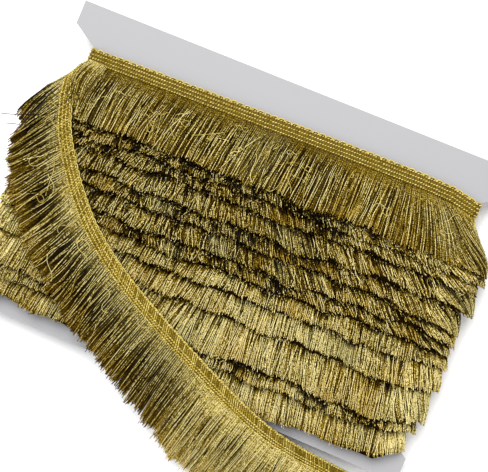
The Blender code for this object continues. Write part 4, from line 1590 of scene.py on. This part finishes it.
class TRIM_OT_stage(bpy.types.Operator):
    """Set the pale floor, the soft light and the camera"""

    bl_idname = "trim.stage"
    bl_label = "Stage"

    def execute(self, context):
        scene = context.scene
        scene.view_settings.view_transform = "Standard"
        material, _, shader = new_material("pale_floor", 0.9)
        shader.inputs["Base Color"].default_value = (0.93, 0.93, 0.93, 1.0)
        floor = lofted("floor", self.slab(half=3.0, depth=0.02), False, material)
        world = bpy.data.worlds.new("studio")
        world.use_nodes = True
        sky = world.node_tree.nodes["Background"]
        sky.inputs["Color"].default_value = (1.0, 1.0, 1.0, 1.0)
        sky.inputs["Strength"].default_value = 0.80
        scene.world = world
        self.sun("key", towards=Vector((-0.25, 0.42, 1.0)), width=math.radians(40), strength=3.1)
        self.set_camera(scene)
        return {"FINISHED"}

    @staticmethod
    def slab(half, depth):
        corners = ((-half, -half), (half, -half), (half, half), (-half, half))
        return [[(x, y, z) for x, y in corners] for z in (-depth, 0.0)]

    @staticmethod
    def sun(name, towards, width, strength):
        light = bpy.data.lights.new(name, "SUN")
        light.angle = width
        light.energy = strength
        item = show(name, light)
        item.rotation_mode = "QUATERNION"
        item.rotation_quaternion = (-towards).to_track_quat("-Z", "Y")

    @staticmethod
    def set_camera(scene):
        lens = bpy.data.cameras.new("view")
        lens.sensor_fit = "HORIZONTAL"
        lens.sensor_width = SENSOR
        lens.lens = SENSOR * FOCAL_PIXELS / PHOTO_WIDTH
        lens.clip_start = 0.01
        lens.clip_end = 20.0
        item = show("view", lens)
        right = Vector(CAMERA_RIGHT)
        up = Vector(CAMERA_UP)
        turn = Matrix((right, up, right.cross(up))).transposed().to_4x4()
        item.matrix_world = Matrix.Translation(Vector(CAMERA_SPOT) + Vector(MIDDLE)) @ turn
        scene.camera = item


STEPS = (
    TRIM_OT_stage,
    TRIM_OT_card,
    TRIM_OT_core,
    TRIM_OT_pile,
    TRIM_OT_top_fringe,
    TRIM_OT_loose_fringe,
    TRIM_OT_top_heading,
    TRIM_OT_loose_heading,
    TRIM_OT_strays,
)


class TRIM_PT_panel(bpy.types.Panel):
    """The trim's sizes, colours and steps"""

    bl_idname = "TRIM_PT_panel"
    bl_label = "Brush fringe trim"
    bl_space_type = "VIEW_3D"
    bl_region_type = "UI"
    bl_category = "Trim"

    def draw(self, context):
        for group in (context.scene.trim_sizes, context.scene.trim_colours):
            box = self.layout.box()
            for key in group.__annotations__:
                box.prop(group, key)
        for step in STEPS:
            self.layout.operator(step.bl_idname)


CLASSES = (TrimSizes, TrimColours, *STEPS, TRIM_PT_panel)


def register():
    for kind in CLASSES:
        bpy.utils.register_class(kind)
    bpy.types.Scene.trim_sizes = PointerProperty(type=TrimSizes)
    bpy.types.Scene.trim_colours = PointerProperty(type=TrimColours)


def unregister():
    del bpy.types.Scene.trim_colours
    del bpy.types.Scene.trim_sizes
    for kind in reversed(CLASSES):
        bpy.utils.unregister_class(kind)


def main():
    register()
    bpy.ops.trim.stage()
    bpy.ops.trim.card()
    bpy.ops.trim.core()
    bpy.ops.trim.pile()
    bpy.ops.trim.top_fringe()
    bpy.ops.trim.loose_fringe()
    bpy.ops.trim.top_heading()
    bpy.ops.trim.loose_heading()
    bpy.ops.trim.strays()


if __name__ == "__main__":
    main()
